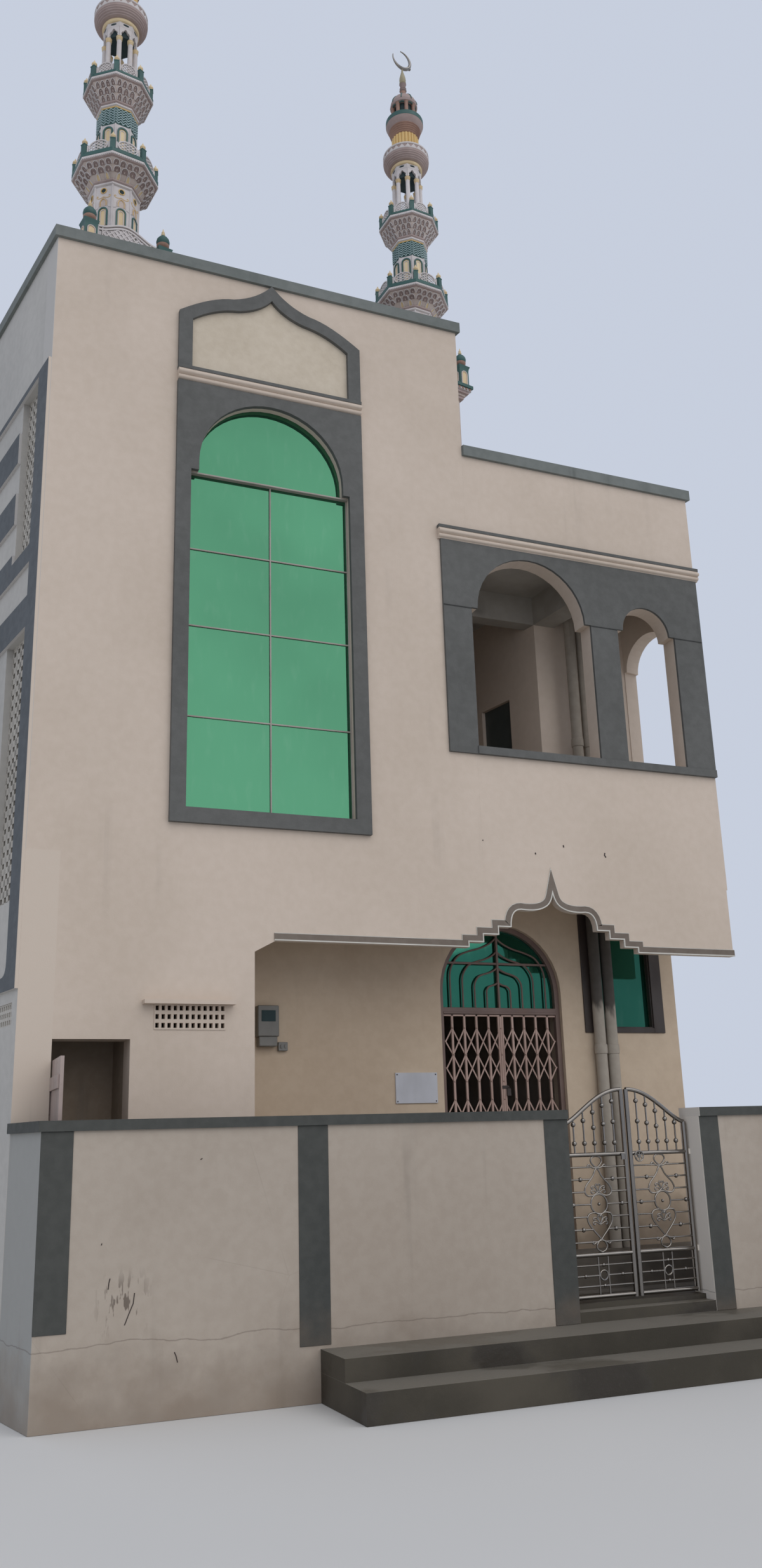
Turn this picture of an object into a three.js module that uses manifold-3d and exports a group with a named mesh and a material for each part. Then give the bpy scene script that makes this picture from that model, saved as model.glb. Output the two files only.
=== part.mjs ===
// A small street mosque: a tall front block with an arched glass window, a lower wing with an open
// arcade over a veranda, a yard wall with a double gate and steps, and a minaret on each roof.
// Millimetres, +Z up. The drawing starts at the left foot of the front wall: X runs right along the
// front, Y runs back into the building. The last lines move the origin under the ground floor.
import * as THREE from "three";
import { mergeVertices } from "three/addons/utils/BufferGeometryUtils.js";
import Module from "manifold-3d";

const wasm = await Module();
wasm.setup();

// Plan
const FRONT = 6240; // width of the whole front
const MAIN = 3735; // width of the tall block
const DEPTH = 8000; // front face to rear face
const WALL = 230; // brick wall with its plaster
const ARCADE_WALL = 160; // the wing's thinner walls on the first floor
const THIN = 115; // half-brick wall
const SKEW = THREE.MathUtils.degToRad(11.06); // the side walls lean to the left by this angle
const VERANDA = { left: 1733, floorEdge: 200, back: 750 };
const GAP = 0.3; // room between pieces that meet on a slanted or curved face
const OVER = 20; // how far a cutting solid runs past what it cuts

// Levels above the street
const PLINTH = 440; // top of the plinth and of the yard floor
const HALL_FLOOR = 700;
const SLAB = { under: 3760, top: 3900 };
const MAIN_ROOF = { under: 8500, top: 8640 };
const WING_ROOF = { under: 6840, top: 6975 };
const MAIN_TOP = 9183;
const WING_TOP = 7850;
const COPING = { height: 105, reach: 30 };

// Door and vent in the ground floor front
const DOOR = { left: 250, right: 800, head: 2400 };
const CLOSET_BACK = 640; // front face of the wall behind the small door
const LEAF = { width: 520, thick: 25, bottom: 475, top: 2250, pinX: 262, pinY: 30, knuckle: 11.6 };
const LEAF_OPEN = THREE.MathUtils.degToRad(92);
const VENT = { left: 969, right: 1506, bottom: 2468, top: 2657, rows: 3, columns: 12 };
const HOOD = { left: 880, right: 1566, thick: 30, reach: 85 };

// Tall window and the raised plaster round it
const WINDOW = { x: 1882, left: 1170, right: 2587, bottom: 4157, ledge: 7085, springing: 7175, radius: 645 };
const SURROUND = { left: 1045, right: 2717, bottom: 4035, proud: 40, band: 118 };
const OGEE = { shoulder: 8608, waist: 8838, waistOffset: 353, top: 9070 };
const CORNICE = { bottom: 7921, top: 8060, reach: 75 };

// Arcade of the wing
const ARCADE = { left: 3465, bottom: 4830, sill: 4900, impost: 6205, top: 6843, proud: 25 };
const BIG_ARCH = { x: 4363, radius: 560, left: 3742, right: 4985 };
const SMALL_ARCH = { x: 5598, radius: 262, left: 5275, right: 5921 };
const SIDE_ARCH = { near: 200, far: 880, impost: 6160, ledge: 30 };
const ARCADE_CORNICE = { left: 3443, right: 6262, top: 6975, reach: 65 };

// Hanging fascia over the veranda, with steps up to a pointed arch
const FASCIA = { x: 4384, bottom: 3150, thick: 60, chamferWidth: 170, chamferDrop: 90 };
const STEPS_UP = [
  { offset: 820, level: 3195 },
  { offset: 683, level: 3262 },
  { offset: 539, level: 3330 },
];
const LOBE = { foot: 418, top: 3483, shoulder: 315, neck: 77, neckTop: 3515, point: 3630 };

// Veranda wall with its entrance and window
const ENTRANCE = { x: 4245, radius: 605, springing: 2885, frontY: 790 };
const FRAME = { bar: 45, depth: 45, lintel: 2700, lintelTop: 2750, crossbar: 3133, slim: 18, hoop: 16 };
const HOOPS = [
  { half: 506, shoulder: 3168, cusp: 3377 },
  { half: 377, shoulder: 3073, cusp: 3253 },
  { half: 246, shoulder: 2978, cusp: 3111 },
  { half: 122, shoulder: 2883, cusp: 2978 },
];
const PICKETS = { count: 9, wide: 18, deep: 20, tiers: 3 };
const SIDE_WINDOW = { left: 5200, right: 5823, bottom: 2580, top: 3620 };
const NOTICE = { left: 3187, right: 3573, bottom: 1940, top: 2190, thick: 12 };
const METER = { left: 1960, right: 2140, bottom: 2400, top: 2730, deep: 90 };
const PIPES = { radius: 52, y: 690, left: 5196, right: 5322 };

// Room behind the arcade, and the beams that meet at its corner
const ROOM = { left: 4885, front: 840 };
const UPPER_DOOR = { near: 443, far: 891, head: 5900, thick: 40 };
const BEAM = { under: 6550, left: 4880, right: 5119, lean: 0.12, deep: 150 };

// Pierced screens in the left side wall and the raised band round them, measured along the wall
const SCREEN_BAYS = [0, 4060];
const UPPER_SCREEN = { near: 245, far: 700, bottom: 6310, top: 7850 };
const LOWER_SCREEN = { near: 235, far: 762, bottom: 3425, top: 5590 };
const SCREEN = { inset: 50, thick: 40 };
const BAND = { proud: 24, bottom: 2750, top: 7900, end: 8060 };
const STRIPES = { far: 3860, first: 6402, height: 289, pitch: 579, count: 3 };
const LONG_PANEL = { near: 228, far: 3860, bottom: 5855, top: 6150 };
const PANEL = { near: 235, far: 3860, bottom: 2856, top: 5590, corner: 110 };
const SIDE_VENT = { near: 117, far: 654, bottom: 2502, top: 2663, rows: 3, columns: 12, deep: 60 };

// Yard wall, gate and steps
const YARD = { front: -625, back: -510, pierBack: -375, top: 1830, right: 6362 };
const YARD_COPING = { height: 68, reach: 22 };
const PIERS = { second: [1855, 2075], third: [3800, 4007], fourth: [5209, 5394], fifth: [6155, 6362] };
const GATE = { y: -464, stile: 19, rail: 16, rod: 7, bottom: 477, lower: 770, upper: 1495 };
const GATE_TOP = { shoulder: 1725, crown: 1983, bulge: 0.75, steps: 12 };
const LEFT_GATE = { hinge: 4062, meet: 4625 };
const RIGHT_GATE = { hinge: 5178, meet: 4635 };
const LUG = { thick: 20, tall: 40, clear: 0.4 };
const THRESHOLD = 403;
const STEP_LEFT = 2000;
const UPPER_STEP = { front: -1075, top: 327 };
const LOWER_STEP = { front: -1430, top: 185 };

// Minarets: the places of their axes on plan, and levels above the street
const LEFT_MINARET = { x: 771, y: 1954 };
const RIGHT_MINARET = { x: 4570, y: 2697 };
const TOWER = { half: 372, head: 10130, platform: 10290, cornice: [410, 455, 496] };
const PARAPET = { offset: 396, half: 330, thick: 40, top: 10690 };
const TURRET = { radius: 86, neck: 10560, top: 10850 };
const GALLERIES = [
  { shaft: 256, ring: 11307, slab: 11520, floor: 11600, edge: 455, rail: 11760 },
  { shaft: 210, ring: 12371, slab: 12627, floor: 12690, edge: 378, rail: 12820 },
];
const RAIL = { thick: 28, post: 24, knob: 50 };
const LANTERN = { top: 13535, body: 195, arch: 13400, columns: 8, column: 26, ring: 165 };
const CROWN_TOP = 15230;
const CRESCENT = { radius: 150, shift: 40, spread: 40, opening: 125, thick: 16, z: 15368 };

// Colours with their roughness and metalness
const finish = (color, roughness, metalness = 0) => ({ color, roughness, metalness });
const CREAM = finish(0xc3b6a8, 0.9);
const TRIM = finish(0x5f6764, 0.92);
const SHADE = finish(0xb4b6b9, 0.9);
const BAND_BLUE = finish(0x59626c, 0.9);
const GLASS = finish(0x5aa384, 0.08);
const CEMENT = finish(0x57534e, 0.95);
const STEEL = finish(0xb9b9b6, 0.25, 1);
const PINK_STEEL = finish(0xa08072, 0.55, 0.4);
const BROWN_STEEL = finish(0x5b4640, 0.6, 0.3);
const PIPE_GREY = finish(0x8f928f, 0.6);
const WHITE = finish(0xd8d5d0, 0.85);
const DOOR_PINK = finish(0xa88f8c, 0.7);
const DARK_DOOR = finish(0x4d5a58, 0.7);
const MINARET_CREAM = finish(0xc4b5a6, 0.85);
const METER_GREY = finish(0x8b8c86, 0.5, 0.5);

const root = new THREE.Group();
const drawing = new THREE.Group();
root.add(drawing);

// A geometry with merged corners becomes a solid that can be joined to others and cut from them.
function solid(geometry) {
  const bare = geometry.index ? geometry.toNonIndexed() : geometry.clone();
  bare.deleteAttribute("normal");
  bare.deleteAttribute("uv");
  const merged = mergeVertices(bare, 1e-3);
  const vertProperties = new Float32Array(merged.attributes.position.array);
  const triVerts = new Uint32Array(merged.index.array);
  return new wasm.Manifold(new wasm.Mesh({ numProp: 3, vertProperties, triVerts }));
}

function joined(...solids) {
  return solids.reduce((sum, next) => sum.add(next));
}

function without(body, ...cuts) {
  return cuts.reduce((rest, cut) => rest.subtract(cut), body);
}

function geometryOf(body) {
  const mesh = body.getMesh();
  const places = new Float32Array(mesh.numVert * 3);
  for (let i = 0; i < mesh.numVert; i++) {
    const start = i * mesh.numProp;
    places.set(mesh.vertProperties.subarray(start, start + 3), i * 3);
  }
  const geometry = new THREE.BufferGeometry();
  geometry.setAttribute("position", new THREE.BufferAttribute(places, 3));
  geometry.setIndex(new THREE.BufferAttribute(new Uint32Array(mesh.triVerts), 1));
  geometry.computeVertexNormals();
  return geometry;
}

function place(name, body, look, parent = drawing) {
  const material = new THREE.MeshStandardMaterial({ ...look, flatShading: true });
  const mesh = new THREE.Mesh(geometryOf(body), material);
  mesh.name = name;
  parent.add(mesh);
}

// Boxes, prisms, rods and turned shapes
function box(x0, x1, y0, y1, z0, z1) {
  const geometry = new THREE.BoxGeometry(x1 - x0, y1 - y0, z1 - z0);
  return solid(geometry.translate((x0 + x1) / 2, (y0 + y1) / 2, (z0 + z1) / 2));
}

function shapeOf(points) {
  return new THREE.Shape(points.map(([x, y]) => new THREE.Vector2(x, y)));
}

function rectangle(x0, x1, z0, z1) {
  return shapeOf([
    [x0, z0],
    [x1, z0],
    [x1, z1],
    [x0, z1],
  ]);
}

// A plan outline raised from z0 to z1
function onPlan(points, z0, z1) {
  const geometry = new THREE.ExtrudeGeometry(shapeOf(points), { depth: z1 - z0, bevelEnabled: false });
  return solid(geometry.translate(0, 0, z0));
}

// An outline in X and Z stretched from y0 back to y1
function onFront(shape, y0, y1, curveSegments = 6) {
  const geometry = new THREE.ExtrudeGeometry(shape, { depth: y1 - y0, bevelEnabled: false, curveSegments });
  return solid(geometry.rotateX(Math.PI / 2).translate(0, y1, 0));
}

// An outline measured along a slanted wall and up, stretched to the right from offset d0 to d1. The
// wall's line starts at startX, startY.
function onSlant(shape, d0, d1, startX = 0, startY = 0, curveSegments = 6) {
  const geometry = new THREE.ExtrudeGeometry(shape, { depth: d1 - d0, bevelEnabled: false, curveSegments });
  geometry.rotateX(Math.PI / 2).translate(0, -d0, 0);
  geometry.rotateZ(Math.PI / 2 + SKEW).translate(startX, startY, 0);
  return solid(geometry);
}

function rod(from, to, radius, sides = 6) {
  const along = to.clone().sub(from);
  const geometry = new THREE.CylinderGeometry(radius, radius, along.length(), sides);
  const turn = new THREE.Quaternion().setFromUnitVectors(new THREE.Vector3(0, 1, 0), along.normalize());
  geometry.applyQuaternion(turn);
  const middle = from.clone().add(to).multiplyScalar(0.5);
  return solid(geometry.translate(middle.x, middle.y, middle.z));
}

function tube(points, radius, steps, sides = 8) {
  const ring = [];
  for (let i = 0; i < sides; i++) {
    const angle = (i / sides) * 2 * Math.PI;
    ring.push([radius * Math.cos(angle), radius * Math.sin(angle)]);
  }
  const extrudePath = new THREE.CatmullRomCurve3(points);
  return solid(new THREE.ExtrudeGeometry(shapeOf(ring), { steps, extrudePath, bevelEnabled: false }));
}

// A profile of [radius, level] pairs turned round the Z axis, with flats facing the axes
function turned(profile, sides) {
  const points = profile.map(([r, z]) => new THREE.Vector2(r, z));
  const geometry = new THREE.LatheGeometry(points, sides, Math.PI / sides, 2 * Math.PI);
  return solid(geometry.rotateX(Math.PI / 2));
}

// An opening with straight jambs, a ledge each side at its springing and a round arch
function archedOpening(left, right, bottom, springing, x, radius) {
  const shape = new THREE.Shape();
  shape.moveTo(left, bottom);
  shape.lineTo(right, bottom);
  shape.lineTo(right, springing);
  shape.lineTo(x + radius, springing);
  shape.absarc(x, springing, radius, 0, Math.PI, false);
  shape.lineTo(left, springing);
  shape.closePath();
  return shape;
}

// The slanted side lines on plan: X of the left face, the right face, and the line that divides the
// tall block from the wing, each moved inwards by inset.
const lean = Math.tan(SKEW);
const slantwise = (thickness) => thickness / Math.cos(SKEW);
const leftLine = (y, inset = 0) => -lean * y + slantwise(inset);
const rightLine = (y, inset = 0) => FRONT - lean * y - slantwise(inset);
const divide = (y, inset = 0) => MAIN - lean * y - slantwise(inset);

function between(leftOf, rightOf, y0, y1, z0, z1) {
  const outline = [
    [leftOf(y0), y0],
    [rightOf(y0), y0],
    [rightOf(y1), y1],
    [leftOf(y1), y1],
  ];
  return onPlan(outline, z0, z1);
}

const wallTop = MAIN_TOP - COPING.height;
const wingWallTop = WING_TOP - COPING.height;
const rearFace = DEPTH - WALL; // inner face of the rear wall
const hallFront = VERANDA.back + WALL; // inner face of the veranda wall

function makeGroundFloor() {
  const plinth = between(leftLine, rightLine, 0, DEPTH, 0, PLINTH);
  const hall = onPlan(
    [
      [VERANDA.left, VERANDA.floorEdge],
      [rightLine(VERANDA.floorEdge), VERANDA.floorEdge],
      [rightLine(hallFront), hallFront],
      [rightLine(hallFront, WALL) - GAP, hallFront],
      [rightLine(rearFace, WALL) - GAP, rearFace],
      [leftLine(rearFace, WALL) + GAP, rearFace],
      [leftLine(hallFront, WALL) + GAP, hallFront],
      [VERANDA.left, hallFront],
    ],
    PLINTH - OVER,
    HALL_FLOOR,
  );
  place("ground_floor", joined(plinth, hall), CEMENT);
}

function makeYard() {
  const { second, third, fourth, fifth } = PIERS;
  const floor = onPlan(
    [
      [leftLine(YARD.back, THIN) + GAP, YARD.back],
      [second[0], YARD.back],
      [second[0], YARD.pierBack],
      [second[1], YARD.pierBack],
      [second[1], YARD.back],
      [third[0], YARD.back],
      [third[0], YARD.pierBack],
      [third[1], YARD.pierBack],
      [third[1], YARD.back],
      [fourth[0], YARD.back],
      [fourth[0], YARD.pierBack],
      [fourth[1], YARD.pierBack],
      [fourth[1], YARD.back],
      [fifth[0], YARD.back],
      [fifth[0], YARD.pierBack],
      [rightLine(YARD.pierBack), YARD.pierBack],
      [rightLine(0), 0],
      [leftLine(0, THIN) + GAP, 0],
    ],
    0,
    PLINTH,
  );
  const threshold = box(third[1], fourth[0], YARD.front, YARD.back + OVER, 0, THRESHOLD);
  place("yard_floor", joined(floor, threshold), CEMENT);
  const step = (front, back, top) => box(STEP_LEFT, YARD.right, front, back, 0, top);
  place("upper_step", step(UPPER_STEP.front, YARD.front, UPPER_STEP.top), CEMENT);
  place("lower_step", step(LOWER_STEP.front, UPPER_STEP.front, LOWER_STEP.top), CEMENT);
}

function makeYardWall() {
  const { second, third, fourth, fifth } = PIERS;
  const leftOutline = (reach) => [
    [leftLine(YARD.front - reach) - slantwise(reach), YARD.front - reach],
    [third[1], YARD.front - reach],
    [third[1], YARD.pierBack],
    [third[0], YARD.pierBack],
    [third[0], YARD.back],
    [second[1], YARD.back],
    [second[1], YARD.pierBack],
    [second[0], YARD.pierBack],
    [second[0], YARD.back],
    [leftLine(YARD.back, THIN), YARD.back],
    [leftLine(0, THIN), 0],
    [leftLine(0) - slantwise(reach), 0],
  ];
  const rightOutline = (reach) => [
    [fourth[0], YARD.front - reach],
    [fifth[1], YARD.front - reach],
    [fifth[1], YARD.pierBack],
    [fifth[0], YARD.pierBack],
    [fifth[0], YARD.back],
    [fourth[1], YARD.back],
    [fourth[1], YARD.pierBack],
    [fourth[0], YARD.pierBack],
  ];
  const lugs = (from, to) =>
    [GATE.lower, GATE.upper].map((level) => {
      const half = LUG.thick / 2;
      return box(from, to, GATE.y - half, GATE.y + half, level - LUG.tall / 2, level + LUG.tall / 2);
    });
  const top = YARD.top - YARD_COPING.height;
  const leftLugs = lugs(third[1] - OVER, LEFT_GATE.hinge - GATE.stile - LUG.clear);
  const rightLugs = lugs(RIGHT_GATE.hinge + GATE.stile + LUG.clear, fourth[0] + OVER);
  place("yard_wall_left", joined(onPlan(leftOutline(0), 0, top), ...leftLugs), CREAM);
  place("yard_wall_right", joined(onPlan(rightOutline(0), 0, top), ...rightLugs), CREAM);
  place("yard_coping_left", onPlan(leftOutline(YARD_COPING.reach), top, YARD.top), TRIM);
  place("yard_coping_right", onPlan(rightOutline(YARD_COPING.reach), top, YARD.top), TRIM);
}

// Height of a gate leaf's curved top, from its hinge (0) to where the leaves meet (1)
function gateTop(part) {
  const rise = (1 - Math.cos(Math.PI * part ** GATE_TOP.bulge)) / 2;
  return GATE_TOP.shoulder + (GATE_TOP.crown - GATE_TOP.shoulder) * rise;
}

function makeGateLeaf(name, { hinge, meet }) {
  const stile = meet - Math.sign(meet - hinge) * GATE.stile;
  const at = (part, z) => new THREE.Vector3(hinge + (stile - hinge) * part, GATE.y, z);
  const upright = (part, z0, z1, radius, sides) => rod(at(part, z0), at(part, z1), radius, sides);
  const level = (z, radius, sides) => rod(at(0, z), at(1, z), radius, sides);
  const curve = [];
  for (let i = 0; i <= GATE_TOP.steps; i++) {
    curve.push(at(i / GATE_TOP.steps, gateTop(i / GATE_TOP.steps)));
  }
  const parts = [
    upright(0, GATE.bottom - GATE.stile, GATE_TOP.shoulder, GATE.stile, 8),
    upright(1, GATE.bottom - GATE.stile, GATE_TOP.crown, GATE.stile, 8),
    level(GATE.bottom, GATE.rail, 8),
    level(GATE.lower, GATE.rail, 8),
    level(GATE.upper, GATE.rail, 8),
    tube(curve, GATE.rail, GATE_TOP.steps),
  ];
  for (let i = 1; i < 6; i++) {
    parts.push(upright(i / 6, GATE.upper, gateTop(i / 6), GATE.rod));
  }
  for (let i = 1; i < 8; i++) {
    parts.push(level(GATE.lower + ((GATE.upper - GATE.lower) * i) / 8, GATE.rod));
  }
  for (let i = 1; i < 4; i++) {
    parts.push(level(GATE.bottom + ((GATE.lower - GATE.bottom) * i) / 4, GATE.rod));
  }
  for (const part of [0.42, 0.58]) {
    parts.push(upright(part, GATE.bottom, GATE.lower, GATE.rod));
  }
  place(name, joined(...parts), STEEL);
}

function makeGroundFloorFront() {
  const ventHole = box(VENT.left, VENT.right, -OVER, WALL + OVER, VENT.bottom, VENT.top);
  const ventWall = box(DOOR.right, VERANDA.left, 0, WALL, PLINTH, SLAB.under);
  place("vent_wall", without(ventWall, ventHole), CREAM);
  place("door_lintel", box(DOOR.left, DOOR.right, 0, WALL, DOOR.head, SLAB.under), CREAM);
  const cheek = box(VERANDA.left - WALL, VERANDA.left, WALL, hallFront, PLINTH, SLAB.under);
  place("veranda_side_wall", cheek, CREAM);
  const closetLeft = (y) => leftLine(y, WALL) + GAP;
  const closetRight = () => DOOR.right + THIN;
  const back = between(closetLeft, closetRight, CLOSET_BACK, CLOSET_BACK + THIN, PLINTH, SLAB.under);
  const side = box(DOOR.right, DOOR.right + THIN, WALL, CLOSET_BACK + OVER, PLINTH, SLAB.under);
  place("closet_wall", joined(back, side), CREAM);
}

// A small vent low in the left side wall, seen only at its front end
function makeSideVent() {
  const { near, far, bottom, top, rows, columns, deep } = SIDE_VENT;
  const plate = onSlant(rectangle(near + GAP, far - GAP, bottom + GAP, top - GAP), 8, 8 + SCREEN.thick);
  const holes = [];
  for (let row = 0; row < rows; row++) {
    for (let column = 0; column < columns; column++) {
      const s = near + ((column + 0.5) * (far - near)) / columns;
      const z = bottom + ((row + 0.5) * (top - bottom)) / rows;
      holes.push(onSlant(rectangle(s - 13, s + 13, z - 16, z + 16), 0, deep));
    }
  }
  place("side_vent", without(plate, ...holes), WHITE);
}

function makeVentGrille() {
  const plate = box(VENT.left + GAP, VENT.right - GAP, -6, SCREEN.thick, VENT.bottom + GAP, VENT.top - GAP);
  const hood = box(HOOD.left, HOOD.right, -HOOD.reach, 0, VENT.top - 8, VENT.top - 8 + HOOD.thick);
  const pitchX = (VENT.right - VENT.left) / VENT.columns;
  const pitchZ = (VENT.top - VENT.bottom) / VENT.rows;
  const holes = [];
  for (let row = 0; row < VENT.rows; row++) {
    for (let column = 0; column < VENT.columns; column++) {
      const x = VENT.left + (column + 0.5) * pitchX;
      const z = VENT.bottom + (row + 0.5) * pitchZ;
      holes.push(box(x - 13, x + 13, -OVER, SCREEN.thick + OVER, z - 18, z + 18));
    }
  }
  place("vent_grille", joined(without(plate, ...holes), hood), WHITE);
}

function makeDoorLeaf() {
  const { width, thick, bottom, top, pinX, pinY, knuckle } = LEAF;
  const leaf = box(0, width, 0, thick, bottom, top);
  const knuckles = [bottom + 200, top - 400].map((z) =>
    rod(new THREE.Vector3(0, 0, z), new THREE.Vector3(0, 0, z + 200), knuckle, 8),
  );
  const hung = new THREE.Group();
  hung.position.set(pinX, pinY, 0);
  hung.rotation.z = -LEAF_OPEN;
  drawing.add(hung);
  place("door_leaf", joined(leaf, ...knuckles), DOOR_PINK, hung);
}

function makeVerandaWall() {
  const body = between(() => VERANDA.left, rightLine, VERANDA.back, hallFront, HALL_FLOOR, SLAB.under);
  const { x, radius, springing } = ENTRANCE;
  const arch = archedOpening(x - radius, x + radius, HALL_FLOOR - OVER, springing, x, radius);
  const y0 = VERANDA.back - OVER;
  const y1 = hallFront + OVER;
  const window = box(SIDE_WINDOW.left, SIDE_WINDOW.right, y0, y1, SIDE_WINDOW.bottom, SIDE_WINDOW.top);
  place("veranda_wall", without(body, onFront(arch, y0, y1, 10), window), CREAM);
  const sash = box(
    SIDE_WINDOW.left + GAP,
    SIDE_WINDOW.right - GAP,
    VERANDA.back + 60,
    VERANDA.back + 90,
    SIDE_WINDOW.bottom + GAP,
    SIDE_WINDOW.top - GAP,
  );
  place("veranda_window", sash, GLASS);
}

// A pointed hoop's outline: straight legs up to its shoulders and an S curve from each to its point
function hoopOutline(x, half, foot, shoulder, cusp) {
  const rise = 0.75 * (cusp - shoulder);
  const curve = new THREE.CubicBezierCurve(
    new THREE.Vector2(half, shoulder),
    new THREE.Vector2(half, shoulder + rise),
    new THREE.Vector2(0, cusp - rise),
    new THREE.Vector2(0, cusp),
  );
  const edge = [[half, foot], ...curve.getPoints(7).map((p) => [p.x, p.y])];
  const mirrored = edge.slice(0, -1).reverse();
  return shapeOf([...edge.map(([dx, z]) => [x + dx, z]), ...mirrored.map(([dx, z]) => [x - dx, z])]);
}

function makeEntrance() {
  const { x, springing, frontY } = ENTRANCE;
  const radius = ENTRANCE.radius - GAP;
  const back = frontY + FRAME.depth;
  const archBand = (outer, width, foot, y0, y1) => {
    const band = archedOpening(x - outer, x + outer, foot, springing, x, outer);
    const inner = outer - width;
    const hollow = archedOpening(x - inner, x + inner, foot - OVER, springing, x, inner);
    return without(onFront(band, y0, y1, 10), onFront(hollow, y0 - OVER, y1 + OVER, 10));
  };
  const barTop = FRAME.crossbar + FRAME.slim;
  const reach = Math.sqrt(radius ** 2 - (barTop - springing) ** 2) - FRAME.bar / 2;
  const parts = [
    archBand(radius, FRAME.bar, HALL_FLOOR, frontY, back),
    box(x - radius + 10, x + radius - 10, frontY, back, FRAME.lintel, FRAME.lintelTop),
    box(x - reach, x + reach, frontY + 5, back - 5, FRAME.crossbar, barTop),
  ];
  for (const { half, shoulder, cusp } of HOOPS) {
    const { hoop, lintel } = FRAME;
    const outer = onFront(hoopOutline(x, half, lintel + 10, shoulder, cusp), frontY + 12, back - 12);
    const inside = hoopOutline(x, half - hoop, lintel + 10 - OVER, shoulder - 6, cusp - 24);
    parts.push(without(outer, onFront(inside, frontY, back)));
  }
  const crown = springing + radius - FRAME.bar / 2;
  parts.push(box(x - FRAME.slim / 2, x + FRAME.slim / 2, frontY + 5, back - 5, FRAME.lintel + 10, crown));
  place("entrance_frame", joined(...parts), BROWN_STEEL);
  const pane = archedOpening(x - radius, x + radius, FRAME.lintel, springing, x, radius);
  place("entrance_glass", onFront(pane, back, back + 8, 10), GLASS);
}

function makeFoldingGate() {
  const inner = ENTRANCE.radius - GAP - FRAME.bar - GAP;
  const left = ENTRANCE.x - inner;
  const right = ENTRANCE.x + inner;
  const y = ENTRANCE.frontY + FRAME.depth / 2;
  const top = FRAME.lintel - GAP;
  const parts = [
    box(left, right, y - 10, y + 10, HALL_FLOOR, HALL_FLOOR + 25),
    box(left, right, y - 10, y + 10, top - 25, top),
  ];
  const half = PICKETS.wide / 2;
  const pitch = (right - left - PICKETS.wide) / (PICKETS.count - 1);
  const tier = (top - HALL_FLOOR) / PICKETS.tiers;
  for (let i = 0; i < PICKETS.count; i++) {
    const x = left + half + i * pitch;
    parts.push(box(x - half, x + half, y - PICKETS.deep / 2, y + PICKETS.deep / 2, HALL_FLOOR, top));
    for (let k = 0; k < PICKETS.tiers && i < PICKETS.count - 1; k++) {
      const low = HALL_FLOOR + (k + 0.2) * tier;
      const high = HALL_FLOOR + (k + 0.8) * tier;
      for (const [from, to] of [
        [low, high],
        [high, low],
      ]) {
        parts.push(rod(new THREE.Vector3(x, y, from), new THREE.Vector3(x + pitch, y, to), 7, 4));
      }
    }
  }
  place("folding_gate", joined(...parts), PINK_STEEL);
}

function makeVerandaFittings() {
  const wall = VERANDA.back;
  const meter = box(METER.left, METER.right, wall - METER.deep, wall, METER.bottom, METER.top);
  place("meter_box", meter, METER_GREY);
  const plate = box(NOTICE.left, NOTICE.right, wall - NOTICE.thick, wall, NOTICE.bottom, NOTICE.top);
  place("notice_plate", plate, WHITE);
  for (const side of ["left", "right"]) {
    const foot = new THREE.Vector3(PIPES[side], PIPES.y, HALL_FLOOR);
    const head = new THREE.Vector3(PIPES[side], PIPES.y, WING_ROOF.under);
    place("pipe_" + side, rod(foot, head, PIPES.radius, 12), PIPE_GREY);
  }
}

// Half of the fascia's lower edge, from its right end to the point over the middle
function fasciaEdge(shape, side) {
  const { foot, top, shoulder, neck, neckTop, point } = LOBE;
  const at = (offset) => FASCIA.x + side * offset;
  const last = STEPS_UP[STEPS_UP.length - 1].level;
  if (side > 0) {
    let level = FASCIA.bottom;
    for (const step of STEPS_UP) {
      shape.lineTo(at(step.offset), level);
      shape.lineTo(at(step.offset), step.level);
      level = step.level;
    }
    shape.lineTo(at(foot), last);
    shape.quadraticCurveTo(at(foot), top, at(shoulder), top);
    shape.quadraticCurveTo(at(neck + 80), top - 15, at(neck), neckTop);
    shape.quadraticCurveTo(at(neck / 4), neckTop + 30, at(0), point);
    return;
  }
  shape.quadraticCurveTo(at(neck / 4), neckTop + 30, at(neck), neckTop);
  shape.quadraticCurveTo(at(neck + 80), top - 15, at(shoulder), top);
  shape.quadraticCurveTo(at(foot), top, at(foot), last);
  for (let i = STEPS_UP.length - 1; i >= 0; i--) {
    const below = i > 0 ? STEPS_UP[i - 1].level : FASCIA.bottom;
    shape.lineTo(at(STEPS_UP[i].offset), STEPS_UP[i].level);
    shape.lineTo(at(STEPS_UP[i].offset), below);
  }
}

function makeFascia() {
  const shape = new THREE.Shape();
  shape.moveTo(VERANDA.left, SLAB.under);
  shape.lineTo(rightLine(FASCIA.thick), SLAB.under);
  shape.lineTo(rightLine(FASCIA.thick), FASCIA.bottom);
  fasciaEdge(shape, 1);
  fasciaEdge(shape, -1);
  shape.lineTo(VERANDA.left + FASCIA.chamferWidth, FASCIA.bottom);
  shape.lineTo(VERANDA.left, FASCIA.bottom - FASCIA.chamferDrop);
  shape.closePath();
  place("veranda_fascia", onFront(shape, 0, FASCIA.thick, 5), CREAM);
}

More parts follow.
